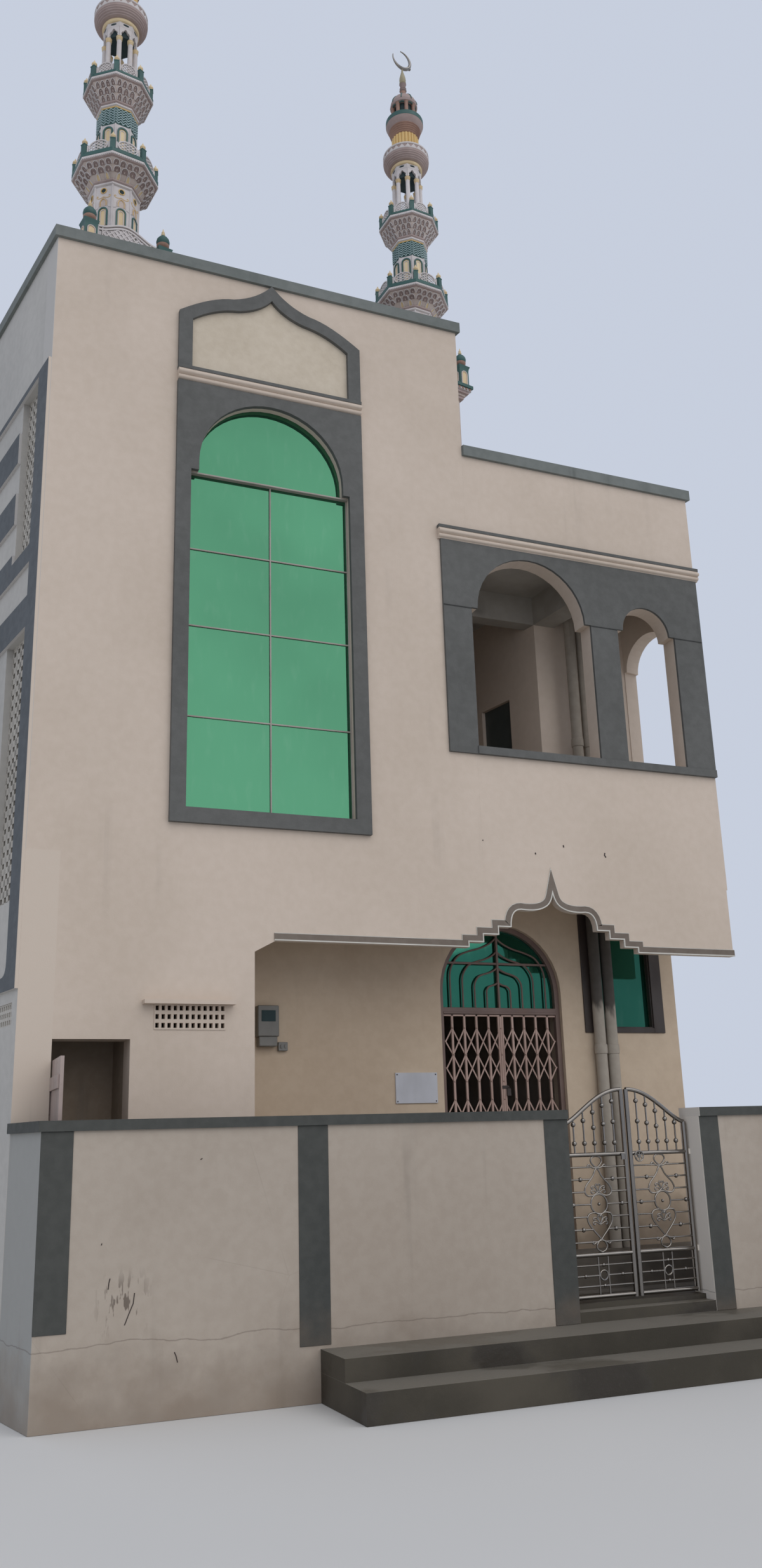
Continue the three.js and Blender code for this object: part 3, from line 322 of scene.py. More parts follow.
@dataclass(frozen=True)
class Plaster:
    """Painted plaster, with patches, rain streaks, a soiled foot and a grain."""

    name: str
    colour: Colour
    shade: Colour
    streak: Colour = paint(120, 112, 102)
    streaks: float = 0.25
    soil: Colour = paint(112, 98, 84)
    soiled: Point = (0.0, 0.01)
    grain: float = 70.0
    depth: float = 0.25
    roughness: float = 0.85
    # The flank colour is painted shade: faces on the left side plane take the side walls' greyer tone. The
    # cheek colour is pale paint at the gate's right pier, brightened as painted light because those faces get
    # little light.
    shaded_flank: Colour | None = None
    face: Colour | None = None
    rim: Colour | None = None
    cheek: Colour | None = None

    def made(self) -> Shader:
        """Builds the material and returns its shader."""
        made = Shader(self.name)
        patch = made.noise(0.7, 5).ramp(0.35, 0.68)
        fine = made.noise(14, 3).ramp(0.3, 0.7)
        colour = made.mix(patch * 0.7 + fine * 0.3, self.colour, self.shade)
        # Faces on the left side plane take the flank colour (painted shade). Faces in a narrow band at the
        # gate's right pier take the cheek colour (pale paint brightened as painted light). The rim and face
        # colours are paint.
        for other, share in (
            (self.shaded_flank, lambda: made.aside.ramp(0.004, 0.002)),
            (self.rim, lambda: made.aside.ramp(-0.0242, -0.0236)),
            (self.face, lambda: (made.y + ORIGIN.y).ramp(0.004, 0.002)),
            (self.cheek, lambda: made.x.ramp(2.8735, 2.8725) * made.x.ramp(2.7, 2.8)),
        ):
            if other:
                colour = made.mix(share(), colour, other)
        runs = made.noise(5.5, 4, (1, 1, 0.06)).ramp(0.56, 0.78)
        broken = made.noise(1.3, 3).ramp(0.42, 0.62)
        colour = made.mix(runs * broken * self.streaks, colour, self.streak)
        low, high = self.soiled
        edge = made.z + (made.noise(3.2, 6) - 0.5) * (high - low) * 1.6
        colour = made.mix(edge.ramp(high, low) * 0.62, colour, self.soil)
        height = made.noise(self.grain, 5, rough=0.65) + made.noise(3, 2) * 1.5
        made.set(Base_Color=colour, Roughness=self.roughness + (fine - 0.5) * 0.12)
        return made.bump(height, self.depth, 0.003)


@dataclass(frozen=True)
class CrackedPlaster(Plaster):
    """Painted plaster low on a wall, with hair cracks, a broken line near its foot and scuffs."""

    line: float = 0.455
    scuffed: Point = (-1.66, 0.7)

    def made(self) -> Shader:
        """Builds the material and returns its shader."""
        made = super().made()
        colour = made.base
        wander = (made.noise(1.1, 2) - 0.5) * 0.16 + (made.noise(9, 4) - 0.5) * 0.035
        gap = made.z - self.line + wander
        crack = gap.size().ramp(0.006, 0.001)
        worn = gap.ramp(0.01, -0.05) * made.noise(7, 5).ramp(0.35, 0.7)
        colour = made.mix(worn * 0.3, colour, paint(160, 150, 138))
        web = made.cells(1.15, (1, 1, 0.8)).ramp(0.003, 0.0005)
        web = web * made.noise(0.9, 2).ramp(0.56, 0.62)
        near = (made.x - self.scuffed[0]).size().ramp(0.22, 0.02)
        near = near * (made.z - self.scuffed[1]).size().ramp(0.24, 0.04)
        scuff = near * made.noise(15, 3, (2.2, 1, 0.45)).ramp(0.55, 0.6)
        colour = made.mix(crack * 0.4 + web * 0.12 + scuff * 0.75, colour, paint(84, 72, 62))
        return made.set(Base_Color=colour)


@dataclass(frozen=True)
class SootyPlaster(Plaster):
    """Painted plaster with a black run between two levels."""

    run: Point = (2.72, 3.75)

    def made(self) -> Shader:
        """Builds the material and returns its shader."""
        made = super().made()
        low, high = self.run
        edge = made.z + (made.noise(9, 3, (1, 1, 0.35)) - 0.5) * 0.5
        share = edge.ramp(low, low + 0.1) * made.z.ramp(high, high - 0.02)
        return made.set(Base_Color=made.mix(share * 0.85, made.base, self.streak))


@dataclass(frozen=True)
class Cement:
    """Trowelled cement with stains, worn paler parts and damp darker ones."""

    name: str
    colour: Colour
    pale: Colour
    damp: Colour
    wet: float = 0.5
    treads: tuple[float, ...] = ()
    tread: Colour = paint(112, 106, 95)

    def made(self) -> Shader:
        """Builds the material and returns its shader."""
        made = Shader(self.name)
        blot = made.noise(1.4, 6).ramp(0.34, 0.66)
        grit = made.noise(45, 4, rough=0.7)
        colour = made.mix(blot, self.colour, self.pale)
        pool = made.noise(0.9, 4).ramp(0.62 - self.wet * 0.2, 0.7 - self.wet * 0.2)
        colour = made.mix(pool * 0.75, colour, self.damp)
        for level in self.treads:
            share = (made.z - level).size().ramp(0.0012, 0.0006)
            colour = made.mix(share * (0.95 - pool * 0.3), colour, self.tread)
        colour = made.mix(grit.ramp(0.55, 0.75) * 0.25, colour, self.pale)
        made.set(Base_Color=colour, Roughness=0.85 - pool * 0.45)
        return made.bump(grit + made.noise(6, 3) * 2, 0.35, 0.004)


@dataclass(frozen=True)
class Coat:
    """Oil paint on steel, cement or timber, worn through or faded in places."""

    name: str
    colour: Colour
    faded: Colour
    worn: Colour
    wear: float = 0.3
    roughness: float = 0.45
    grain: float = 30.0

    def made(self) -> Shader:
        """Builds the material and returns its shader."""
        made = Shader(self.name, Coat_Roughness=0.3)
        fade = made.noise(2.3, 4).ramp(0.35, 0.7)
        chips = made.noise(self.grain, 5, rough=0.7).ramp(0.66 - self.wear * 0.1, 0.72)
        dust = made.noise(7, 3, (1, 1, 0.3)).ramp(0.4, 0.75)
        colour = made.mix(fade, self.colour, self.faded)
        colour = made.mix(dust * self.wear * 0.5, colour, self.worn)
        colour = made.mix(chips * self.wear, colour, self.worn)
        made.set(Base_Color=colour, Roughness=self.roughness + dust * 0.25 + chips * 0.2)
        return made.bump(made.noise(self.grain * 2, 3) - chips * 0.4, 0.15, 0.001)


@dataclass(frozen=True)
class Steel:
    """Bare steel, brushed or polished, with smears."""

    name: str
    colour: Colour
    roughness: float = 0.22

    def made(self) -> Shader:
        """Builds the material and returns its shader."""
        made = Shader(self.name, Metallic=1.0)
        smear = made.noise(9, 4, (1, 1, 0.4)).ramp(0.3, 0.75)
        dull = made.noise(40, 3).ramp(0.45, 0.8)
        deep = tuple(c * 0.72 for c in self.colour)
        colour = made.mix(smear * 0.6 + dull * 0.2, self.colour, deep)
        made.set(Base_Color=colour, Roughness=self.roughness + smear * 0.16 + dull * 0.08)
        return made.bump(made.noise(160, 2, (1, 1, 0.1)), 0.04, 0.0005)


@dataclass(frozen=True)
class Pane:
    """Reflecting glass, slightly wavy, with faint streaks of dust."""

    name: str
    colour: Colour
    deep: Colour
    metallic: float = 0.85

    def made(self) -> Shader:
        """Builds the material and returns its shader."""
        made = Shader(self.name, Metallic=self.metallic)
        cloud = made.noise(0.55, 3).ramp(0.3, 0.72)
        film = made.noise(18, 4, (1, 1, 0.25)).ramp(0.5, 0.85)
        colour = made.mix(cloud, self.colour, self.deep)
        colour = made.mix(film * 0.04, colour, paint(176, 196, 184))
        made.set(Base_Color=colour, Roughness=0.03 + film * 0.1)
        return made.bump(made.noise(1.6, 1), 0.05, 0.01)


class Finish(Enum):
    """The finishes of the building, each with the record's slot that it belongs to."""

    # Faces on the left side plane are greyed to the side walls' tone as painted shade.
    CREAM = "cream_plaster", Plaster("cream plaster", paint(207, 191, 175), paint(196, 180, 163),
        streaks=0.14, shaded_flank=paint(189, 185, 179))
    VERANDA = "cream_plaster", Plaster("veranda plaster", paint(205, 185, 160), paint(190, 169, 145),
        soiled=(0.7, 1.3))
    CLOSET = "cream_plaster", Plaster("closet plaster", paint(158, 142, 124), paint(136, 120, 103),
        streaks=0.6, soiled=(0.4, 1.6))
    # The yard wall's faces on the left side plane are greyed as painted shade. At the gate's right pier its
    # return is pale paint brightened as painted light.
    YARD = "cream_plaster", CrackedPlaster("yard wall plaster", paint(178, 166, 152), paint(166, 153, 139),
        streaks=0.3, soiled=(0.0, 0.5), soil=paint(124, 108, 92), shaded_flank=paint(158, 157, 152),
        cheek=paint(234, 226, 214))
    # The side and rear walls carry the front's cream paint. Their greyer tone is painted shade, and faces on
    # the front plane keep the cream.
    SIDE = "side_plaster", Plaster("side plaster", paint(190, 186, 179), paint(174, 171, 165), streaks=0.4,
        soiled=(0.0, 0.7), face=paint(205, 190, 174))
    TRIM = "grey_trim", Plaster("grey stippled plaster", paint(97, 97, 94), paint(86, 86, 83),
        streak=paint(62, 63, 61), streaks=0.35, grain=38.0, depth=0.7)
    TAUPE = "grey_trim", Plaster("fascia band paint", paint(121, 110, 99), paint(106, 95, 85),
        streak=paint(74, 66, 58), depth=0.4)
    # A line of painted shadow.
    IMPOST_SHADOW = "grey_trim", Plaster("grey shadow line", paint(58, 58, 56), paint(50, 50, 48),
        streak=paint(44, 44, 42), depth=0.4)
    COPING = "grey_trim", Plaster("grey coping paint", paint(118, 122, 118), paint(104, 109, 105),
        streak=paint(70, 74, 70), streaks=0.4, depth=0.4)
    # At the gate's right pier the coping's and strip's left ends are cream paint, brightened as painted
    # light.
    STRIP = "grey_trim", Plaster("grey wall strip", paint(74, 75, 71), paint(63, 65, 62),
        streak=paint(96, 94, 88), soiled=(0.1, 0.6), depth=0.4, cheek=paint(226, 219, 208))
    BAND = "blue_band", Plaster("blue-grey band", paint(93, 97, 100), paint(81, 85, 88), depth=0.4,
        rim=paint(196, 192, 188), face=paint(205, 190, 174))
    ROUGH = "cream_plaster", Plaster("rough cream plaster", paint(206, 193, 173), paint(188, 174, 153),
        streaks=0.1, grain=16.0, depth=1.0)
    WHITE = "white_cement", Plaster("pale cement", paint(190, 184, 174), paint(170, 164, 153), streaks=0.45)
    BOARD = "white_cement", Coat("blank board", paint(196, 196, 200), paint(186, 186, 190),
        paint(150, 148, 146))
    CEMENT = "cement", Cement("damp cement", paint(84, 77, 68), paint(104, 97, 87), paint(54, 47, 40))
    STEP = "cement", Cement("wet step cement", paint(60, 55, 45), paint(78, 72, 61), paint(40, 33, 24), 0.7,
        treads=(0.403, 0.327, 0.185))
    ROOF = "cement", Cement("roof cement", paint(140, 134, 124), paint(163, 157, 147), paint(104, 99, 92),
        0.2)
    # The dark base colour is a painted reflection of dark surroundings in the polished steel.
    STAINLESS = "stainless_steel", Steel("stainless tube", (0.27, 0.25, 0.228), 0.1)
    BROWN = "brown_steel", Coat("brown frame paint", paint(104, 84, 76), paint(122, 100, 90),
        paint(146, 124, 110))
    DARK = "brown_steel", Coat("dark frame paint", paint(50, 41, 37), paint(62, 52, 46), paint(84, 71, 62),
        0.2)
    PINK = "pink_steel", Coat("folding gate paint", paint(184, 156, 142), paint(166, 138, 124),
        paint(118, 92, 81), 0.35)
    GLASS = "green_glass", Pane("green reflecting glass", paint(76, 134, 103), paint(67, 120, 92))
    DIM_GLASS = "green_glass", Pane("green shaded glass", paint(48, 116, 95), paint(36, 92, 75), 0.8)
    BARS = "stainless_steel", Coat("grey-white window bars", paint(162, 156, 146), paint(146, 139, 129),
        paint(108, 99, 90))
    LINE = "white_cement", Coat("white painted line", paint(206, 202, 192), paint(190, 185, 174),
        paint(140, 132, 120))
    DOOR = "door_paint", Coat("small door paint", paint(174, 157, 149), paint(158, 140, 131),
        paint(116, 96, 88), 0.4)
    DARK_DOOR = "dark_door", Coat("upper door paint", paint(64, 72, 70), paint(78, 84, 82),
        paint(100, 96, 90))
    METER = "meter_case", Coat("meter enamel", paint(132, 130, 124), paint(112, 110, 104),
        paint(84, 78, 72))
    PIPE = "pipe", SootyPlaster("drain pipe", paint(170, 160, 146), paint(148, 139, 126),
        streak=paint(48, 44, 40), streaks=0.5)
    MINARET = "minaret_plaster", Plaster("minaret plaster", paint(204, 190, 180), paint(184, 168, 158),
        streak=paint(104, 88, 82), streaks=0.45)
    PALE = "minaret_plaster", Plaster("minaret white", paint(214, 208, 206), paint(196, 188, 184),
        streak=paint(120, 108, 102), streaks=0.4)
    MAUVE = "minaret_plaster", Plaster("minaret shaded mouldings", paint(178, 160, 154),
        paint(156, 137, 131), streak=paint(92, 76, 72), streaks=0.4)
    # In the gallery's recesses this darker mauve is painted shade.
    DUSK = "minaret_plaster", Coat("minaret recesses", paint(146, 128, 122), paint(128, 110, 105),
        paint(102, 86, 82), 0.3, 0.8)
    GREEN = "minaret_plaster", Coat("minaret green", paint(42, 82, 77), paint(54, 94, 89),
        paint(98, 114, 108), 0.35, 0.5)
    WAVE = "minaret_plaster", Coat("minaret ridges", paint(158, 178, 178), paint(134, 157, 157),
        paint(96, 120, 120), 0.3, 0.6)
    GOLD = "minaret_plaster", Coat("minaret yellow", paint(218, 184, 120), paint(202, 166, 102),
        paint(150, 124, 84), 0.3, 0.5)
    STRAW = "minaret_plaster", Coat("minaret pale yellow", paint(224, 202, 160), paint(208, 183, 142),
        paint(158, 132, 104), 0.3, 0.5)
    OLIVE = "minaret_plaster", Coat("minaret weathered yellow", paint(164, 154, 124), paint(140, 129, 102),
        paint(104, 94, 78), 0.4, 0.5)
    RUST = "minaret_plaster", Coat("minaret brown", paint(158, 124, 106), paint(138, 104, 89),
        paint(96, 76, 68), 0.4, 0.55)
    # Dark green. As the lantern's inner skirt it is a sheet of painted shade.
    HOLLOW = "minaret_plaster", Coat("minaret hollow", paint(34, 50, 52), paint(46, 64, 66),
        paint(64, 74, 74), 0.2, 0.8)

    @property
    def slot(self) -> str:
        """The record's slot."""
        return self.value[0]

    @property
    def material(self) -> bpy.types.Material:
        """The material, built the first time that it is asked for."""
        made = self.value[1]
        return bpy.data.materials.get(made.name) or made.made().material


class Solid:
    """Faces gathered for one piece."""

    def __init__(self) -> None:
        """Starts with no face."""
        self.points: list[Vector] = []
        self.faces: list[tuple[int, ...]] = []

    def add(self, points: Iterable[Vector], faces: Iterable[Sequence[int]]) -> "Solid":
        """Adds faces, as lists of numbers into their own points, and returns itself."""
        first = len(self.points)
        self.points.extend(Vector(p) for p in points)
        self.faces.extend(tuple(first + i for i in face) for face in faces)
        return self

    def join(self, other: "Solid", shift: Vector | None = None) -> "Solid":
        """Adds another solid's faces, shifted, and returns itself."""
        shift = shift or up(0)
        return self.add([p + shift for p in other.points], other.faces)

    def box(self, low: Sequence[float], high: Sequence[float]) -> "Solid":
        """Adds a box between two corners."""
        corners = [
            Vector((x, y, z)) for z in (low[2], high[2]) for y in (low[1], high[1]) for x in (low[0], high[0])
        ]
        sides = [(0, 2, 3, 1), (4, 5, 7, 6), (0, 1, 5, 4), (2, 6, 7, 3), (0, 4, 6, 2), (1, 3, 7, 5)]
        return self.add(corners, sides)

    def prism(self, outline: Sequence[Vector], lift: Vector) -> "Solid":
        """Adds the solid that an outline sweeps as it moves by lift."""
        count = len(outline)
        near = [Vector(p) for p in outline]
        points = [*near, *(p + lift for p in near)]
        sides = [(i, (i + 1) % count, (i + 1) % count + count, i + count) for i in range(count)]
        return self.add(points, [tuple(range(count))[::-1], tuple(range(count, 2 * count)), *sides])

    def skin(self, points: Sequence[Vector], sides: int, closed: bool = False) -> "Solid":
        """Adds the surface over rows of points, each row a ring.

        Args:
            points: The rows, one after the other.
            sides: How many points each row has.
            closed: Whether the last row joins the first; else a face closes each end.

        Returns:
            This solid.
        """
        last = len(points) - sides
        faces = []
        for a in range(0, len(points) if closed else last, sides):
            b = (a + sides) % len(points)
            faces += [(a + k, a + (k + 1) % sides, b + (k + 1) % sides, b + k) for k in range(sides)]
        if not closed:
            faces += [tuple(range(sides))[::-1], tuple(range(last, len(points)))]
        return self.add(points, faces)

    def ribbon(
        self, first: Sequence[Vector], second: Sequence[Vector], lift: Vector, closed: bool = False
    ) -> "Solid":
        """Adds a flat band between two lines of as many points, thickened by lift, and returns itself."""
        rows = [(Vector(a), Vector(b)) for a, b in zip(first, second)]
        return self.skin([p for a, b in rows for p in (a, b, b + lift, a + lift)], 4, closed)

    def tube(
        self, path: Sequence[Vector], radius: float | Sequence[float], sides: int = 10, closed: bool = False
    ) -> "Solid":
        """Adds a round bar along a path.

        Args:
            path: The points of its middle line.
            radius: Its radius, or one for each point.
            sides: How many sides it has.
            closed: Whether its end joins its start.

        Returns:
            This solid.
        """
        path = [Vector(p) for p in path]
        count = len(path)
        radii = [radius] * count if isinstance(radius, (int, float)) else radius
        points = []
        across = None
        for i, here in enumerate(path):
            before = path[i - 1] if i or closed else here
            after = path[(i + 1) % count] if i + 1 < count or closed else here
            along = (after - before).normalized()
            across = across or along.orthogonal().normalized()
            across = (across - along * across.dot(along)).normalized()
            other = along.cross(across)
            for k in range(sides):
                angle = 2 * math.pi * k / sides
                points.append(here + (across * math.cos(angle) + other * math.sin(angle)) * radii[i])
        return self.skin(points, sides, closed)

    def lathe(
        self, profile: Line, sides: int = 32, middle: Vector | None = None, turn: float = 0.0
    ) -> "Solid":
        """Adds the solid that a profile sweeps round an upright axis.

        Args:
            profile: Radius and height, from the foot up. Its ends are closed.
            sides: How many sides it has.
            middle: A point on the axis, at height 0.
            turn: The first corner's angle.

        Returns:
            This solid.
        """
        middle = middle or up(0)
        spokes = [around(turn + 2 * math.pi * k / sides) for k in range(sides)]
        return self.skin([middle + spoke * r + up(z) for r, z in profile for spoke in spokes], sides)

    def ball(self, middle: Vector, radius: float, rings: int = 6, sides: int = 12) -> "Solid":
        """Adds a ball."""
        return self.lathe(arc((0, 0), radius, -84, 84, rings), sides, Vector(middle))

    def moved(self, matrix: Matrix) -> "Solid":
        """Moves all its points and returns itself."""
        self.points = [matrix @ p for p in self.points]
        return self

    def mesh(self, name: str) -> bpy.types.Mesh:
        """The faces as a mesh, with doubled points merged and every face turned outwards."""
        made = bpy.data.meshes.new(name)
        made.from_pydata(self.points, [], self.faces)
        work = bmesh.new()
        work.from_mesh(made)
        bmesh.ops.remove_doubles(work, verts=work.verts, dist=2e-6)
        bmesh.ops.dissolve_degenerate(work, edges=work.edges, dist=1e-6)
        bmesh.ops.recalc_face_normals(work, faces=work.faces)
        work.to_mesh(made)
        work.free()
        return made

    def piece(
        self, name: str, finish: Finish, body: str = BUILDING, replaces: Sequence[str] = (), soften: float = 0
    ) -> bpy.types.Object:
        """Makes the piece.

        Args:
            name: Its name.
            finish: Its finish.
            body: The body that it rides on.
            replaces: The solids that it stands for.
            soften: How wide its edges are rounded, in metres.

        Returns:
            The piece.
        """
        mesh = self.mesh(name)
        mesh.materials.append(finish.material)
        mesh.shade_smooth()
        mesh.set_sharp_from_angle(angle=CREASE)
        made = linked(name, mesh)
        if soften:
            edge = made.modifiers.new("soft edges", "BEVEL")
            edge.width, edge.segments, edge.limit_method = soften, 2, "ANGLE"
            edge.angle_limit = CORNER
        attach(made, body)
        finish.slot
        if replaces:
            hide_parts(*replaces)
        LOG.info("%s: %d faces, %s", name, len(mesh.polygons), finish.name.lower())
        return made


class GrowthTree(Graph):
    """A Geometry Nodes tree that turns one mesh into another, with named inputs for its sizes."""

    def __init__(self, name: str, inputs: dict[str, str]) -> None:
        """Starts the tree.

        Args:
            name: The tree's name.
            inputs: The kind of socket of each named input.
        """
        group = bpy.data.node_groups.new(name, "GeometryNodeTree")
        super().__init__(group)
        self.sockets: dict[str, str] = {}
        for title, kind in {"Geometry": "Geometry", **inputs, "Material": "Material"}.items():
            socket = group.interface.new_socket(title, in_out="INPUT", socket_type="NodeSocket" + kind)
            self.sockets[title] = socket.identifier
        group.interface.new_socket("Geometry", in_out="OUTPUT", socket_type="NodeSocketGeometry")
        self.entry = self.node("NodeGroupInput")

    def value(self, title: str) -> Signal:
        """What the named input holds."""
        return Signal(self, self.entry.outputs[title])

    def close(self, grown: Signal) -> "GrowthTree":
        """Ends the tree with its instances made real and its material set, and returns it."""
        real = self.out("GeometryNodeRealizeInstances", inputs={0: grown})
        inputs = {"Geometry": real, "Material": self.value("Material")}
        done = self.out("GeometryNodeSetMaterial", inputs=inputs)
        self.node("NodeGroupOutput", inputs={0: done})
        return self

    def grow(self, seed: Solid, finish: Finish, **values: float | int | Sequence[float]) -> Solid:
        """Runs the tree.

        Args:
            seed: The faces that it starts from.
            finish: The material that it sets.
            values: The sizes, by the input's name with _ for a space.

        Returns:
            The grown faces.
        """
        carrier = linked("seed", seed.mesh("seed"))
        growth = carrier.modifiers.new("growth", "NODES")
        growth.node_group = self.tree
        growth[self.sockets["Material"]] = finish.material
        for title, value in values.items():
            growth[self.sockets[title.replace("_", " ")]] = value
        bpy.context.view_layer.update()
        shown = carrier.evaluated_get(bpy.context.evaluated_depsgraph_get())
        grown = bpy.data.meshes.new_from_object(shown)
        carrier.modifiers.remove(growth)
        bpy.data.objects.remove(carrier)
        faces = Solid().add([v.co for v in grown.vertices], [tuple(p.vertices) for p in grown.polygons])
        bpy.data.meshes.remove(grown)
        return faces


def repeat_tree() -> GrowthTree:
    """A tree that repeats a mesh, each copy shifted and turned about the upright axis from the one before."""
    tree = GrowthTree("repeat", {"Count": "Int", "Shift": "Vector", "Turn": "Float"})
    line = {"Count": tree.value("Count"), "Offset": tree.value("Shift")}
    points = tree.out("GeometryNodeMeshLine", {"mode": "OFFSET"}, line)
    turn = tree.out("GeometryNodeInputIndex") * tree.value("Turn")
    angle = tree.out("ShaderNodeCombineXYZ", inputs={2: turn})
    inputs = {"Points": points, "Instance": tree.value("Geometry"), "Rotation": angle}
    return tree.close(tree.out("GeometryNodeInstanceOnPoints", inputs=inputs))


def bead_tree() -> GrowthTree:
    """A tree that sets a low ball on every point of a mesh."""
    tree = GrowthTree("beads", {"Radius": "Float", "Detail": "Int"})
    size = {"Radius": tree.value("Radius"), "Subdivisions": tree.value("Detail")}
    ball = tree.out("GeometryNodeMeshIcoSphere", inputs=size)
    inputs = {"Points": tree.value("Geometry"), "Instance": ball}
    return tree.close(tree.out("GeometryNodeInstanceOnPoints", inputs=inputs))


def lattice_tree() -> GrowthTree:
    """A tree that repeats a bar mesh across a field and its quarter-turned twin up the field."""
    kinds = {"Columns": "Int", "Rows": "Int", "Width": "Float", "Height": "Float"}
    tree = GrowthTree("lattice", kinds)
    crossing = []
    for count, length, axis in (("Columns", "Width", 0), ("Rows", "Height", 2)):
        pitch = tree.value(length) / tree.value(count)
        shift = tree.out("ShaderNodeCombineXYZ", inputs={axis: pitch})
        line = {"Count": tree.value(count) + 1, "Offset": shift}
        points = tree.out("GeometryNodeMeshLine", {"mode": "OFFSET"}, line)
        turn = (0, 0 if axis == 0 else math.pi / 2, 0)
        other = tree.value("Height" if axis == 0 else "Width")
        size = tree.out("ShaderNodeCombineXYZ", inputs={0: 1.0, 1: 1.0, 2: other})
        inputs = {"Points": points, "Instance": tree.value("Geometry"), "Rotation": turn, "Scale": size}
        crossing.append(tree.out("GeometryNodeInstanceOnPoints", inputs=inputs))
    join = tree.node("GeometryNodeJoinGeometry")
    for part in crossing:
        tree.tree.links.new(part.socket, join.inputs[0])
    return tree.close(Signal(tree, join.outputs[0]))


@dataclass
class Trees:
    """The Geometry Nodes trees that the pieces share."""

    repeat: GrowthTree = field(default_factory=repeat_tree)
    beads: GrowthTree = field(default_factory=bead_tree)
    lattice: GrowthTree = field(default_factory=lattice_tree)


@dataclass
class Studio:
    """Pale floor, soft light and the photograph's viewpoint."""

    eye: Colour = (-3.32768, -13.0, 1.65)
    yaw: float = 22.949
    pitch: float = 16.180
    roll: float = -1.703
    focal: float = 1931.52
    long_side: float = 2469
    floor: float = 60.0
    level: float = -0.002
    sky: Colour = paint(214, 222, 238)
    glow: float = 0.85
    lamp: Colour = (1.0, 0.95, 0.88)
    strength: float = 0.95
    softness: float = 70.0
    fall: Point = (48.0, 16.0)

    def camera(self) -> None:
        """Sets the camera where the photograph was taken."""
        yaw, pitch, roll = (math.radians(a) for a in (self.yaw, self.pitch, self.roll))
        ahead = Vector((math.sin(yaw) * math.cos(pitch), math.cos(yaw) * math.cos(pitch), math.sin(pitch)))
        level = Vector((math.cos(yaw), -math.sin(yaw), 0))
        top = level.cross(ahead)
        right = level * math.cos(roll) + top * math.sin(roll)
        above = top * math.cos(roll) - level * math.sin(roll)
        lens = bpy.data.cameras.new("viewpoint")
        lens.sensor_width = 36.0
        lens.lens = self.focal / self.long_side * lens.sensor_width
        lens.clip_end = 200
        camera = linked("viewpoint", lens)
        facing = Matrix((right, above, -ahead)).transposed().to_4x4()
        camera.matrix_world = Matrix.Translation(Vector(self.eye)) @ facing
        bpy.context.scene.camera = camera

    def light(self) -> None:
        """Lights the object with an even pale sky and one very soft lamp."""
        world = bpy.data.worlds.new("sky")
        world.use_nodes = True
        sky = world.node_tree.nodes["Background"]
        sky.inputs["Color"].default_value = (*self.sky, 1)
        sky.inputs["Strength"].default_value = self.glow
        bpy.context.scene.world = world
        lamp = bpy.data.lights.new("soft lamp", "SUN")
        lamp.energy, lamp.angle, lamp.color = self.strength, math.radians(self.softness), self.lamp
        tilt, turn = (math.radians(a) for a in self.fall)
        linked("soft lamp", lamp).rotation_euler = (tilt, 0, turn)
        bpy.context.scene.view_settings.view_transform = "Standard"

    def ground(self) -> None:
        """Lays the floor that the object stands on."""
        shader = Shader("studio floor", Roughness=0.9)
        shader.set(Base_Color=shader.mix(shader.noise(0.3, 2), paint(206, 204, 200), paint(214, 212, 208)))
        mesh = bpy.data.meshes.new("floor")
        ways = ((-1, -1), (1, -1), (1, 1), (-1, 1))
        mesh.from_pydata([(x * self.floor, y * self.floor, self.level) for x, y in ways], [], [(0, 1, 2, 3)])
        mesh.materials.append(shader.material)
        linked("floor", mesh)

    def build(self) -> None:
        """Makes the camera, the light and the floor."""
        self.camera()
        self.light()
        self.ground()


SOLID_FINISHES: dict[Finish, str] = {
    Finish.CEMENT: "ground_floor",
    Finish.STEP: "yard_floor upper_step lower_step",
    Finish.ROOF: "main_roof wing_roof",
    Finish.YARD: "yard_wall_left yard_wall_right",
    Finish.TRIM: "window_surround ogee_band arcade_facing",
    Finish.STRIP: "yard_coping_left yard_coping_right",
    Finish.COPING: "main_coping wing_coping",
    Finish.STAINLESS: "gate_leaf_left gate_leaf_right",
    Finish.CREAM: "vent_grille vent_wall door_lintel veranda_side_wall veranda_fascia first_floor_slab "
    "right_wall main_front_wall window_cornice divider_wall wing_front_wall arcade_cornice "
    "room_front_wall room_side_wall",
    Finish.VERANDA: "veranda_wall",
    Finish.CLOSET: "closet_wall",
    Finish.SIDE: "left_wall rear_wall",
    Finish.BAND: "side_band",
    Finish.GLASS: "tall_window_glass",
    Finish.DIM_GLASS: "entrance_glass veranda_window",
    Finish.PINK: "folding_gate",
    Finish.BROWN: "entrance_frame",
    Finish.PIPE: "pipe_left pipe_right",
    Finish.WHITE: "side_vent upper_screen_1 upper_screen_2 lower_screen_1 lower_screen_2",
    Finish.BOARD: "notice_plate",
    Finish.DOOR: "door_leaf",
    Finish.DARK_DOOR: "upper_door",
    Finish.METER: "meter_box",
    Finish.MINARET: "left_minaret_tower left_minaret_shaft left_minaret_lantern left_minaret_crown "
    "right_minaret_tower right_minaret_shaft right_minaret_lantern right_minaret_crown",
}


def dress_solids() -> None:
    """Gives every solid of the frame its finish."""
    for finish, names in SOLID_FINISHES.items():
        for name in names.split():
            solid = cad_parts[name]
            solid.data.materials.clear()
            solid.data.materials.append(finish.material)
        LOG.info("%s on %s", finish.name.lower(), names)


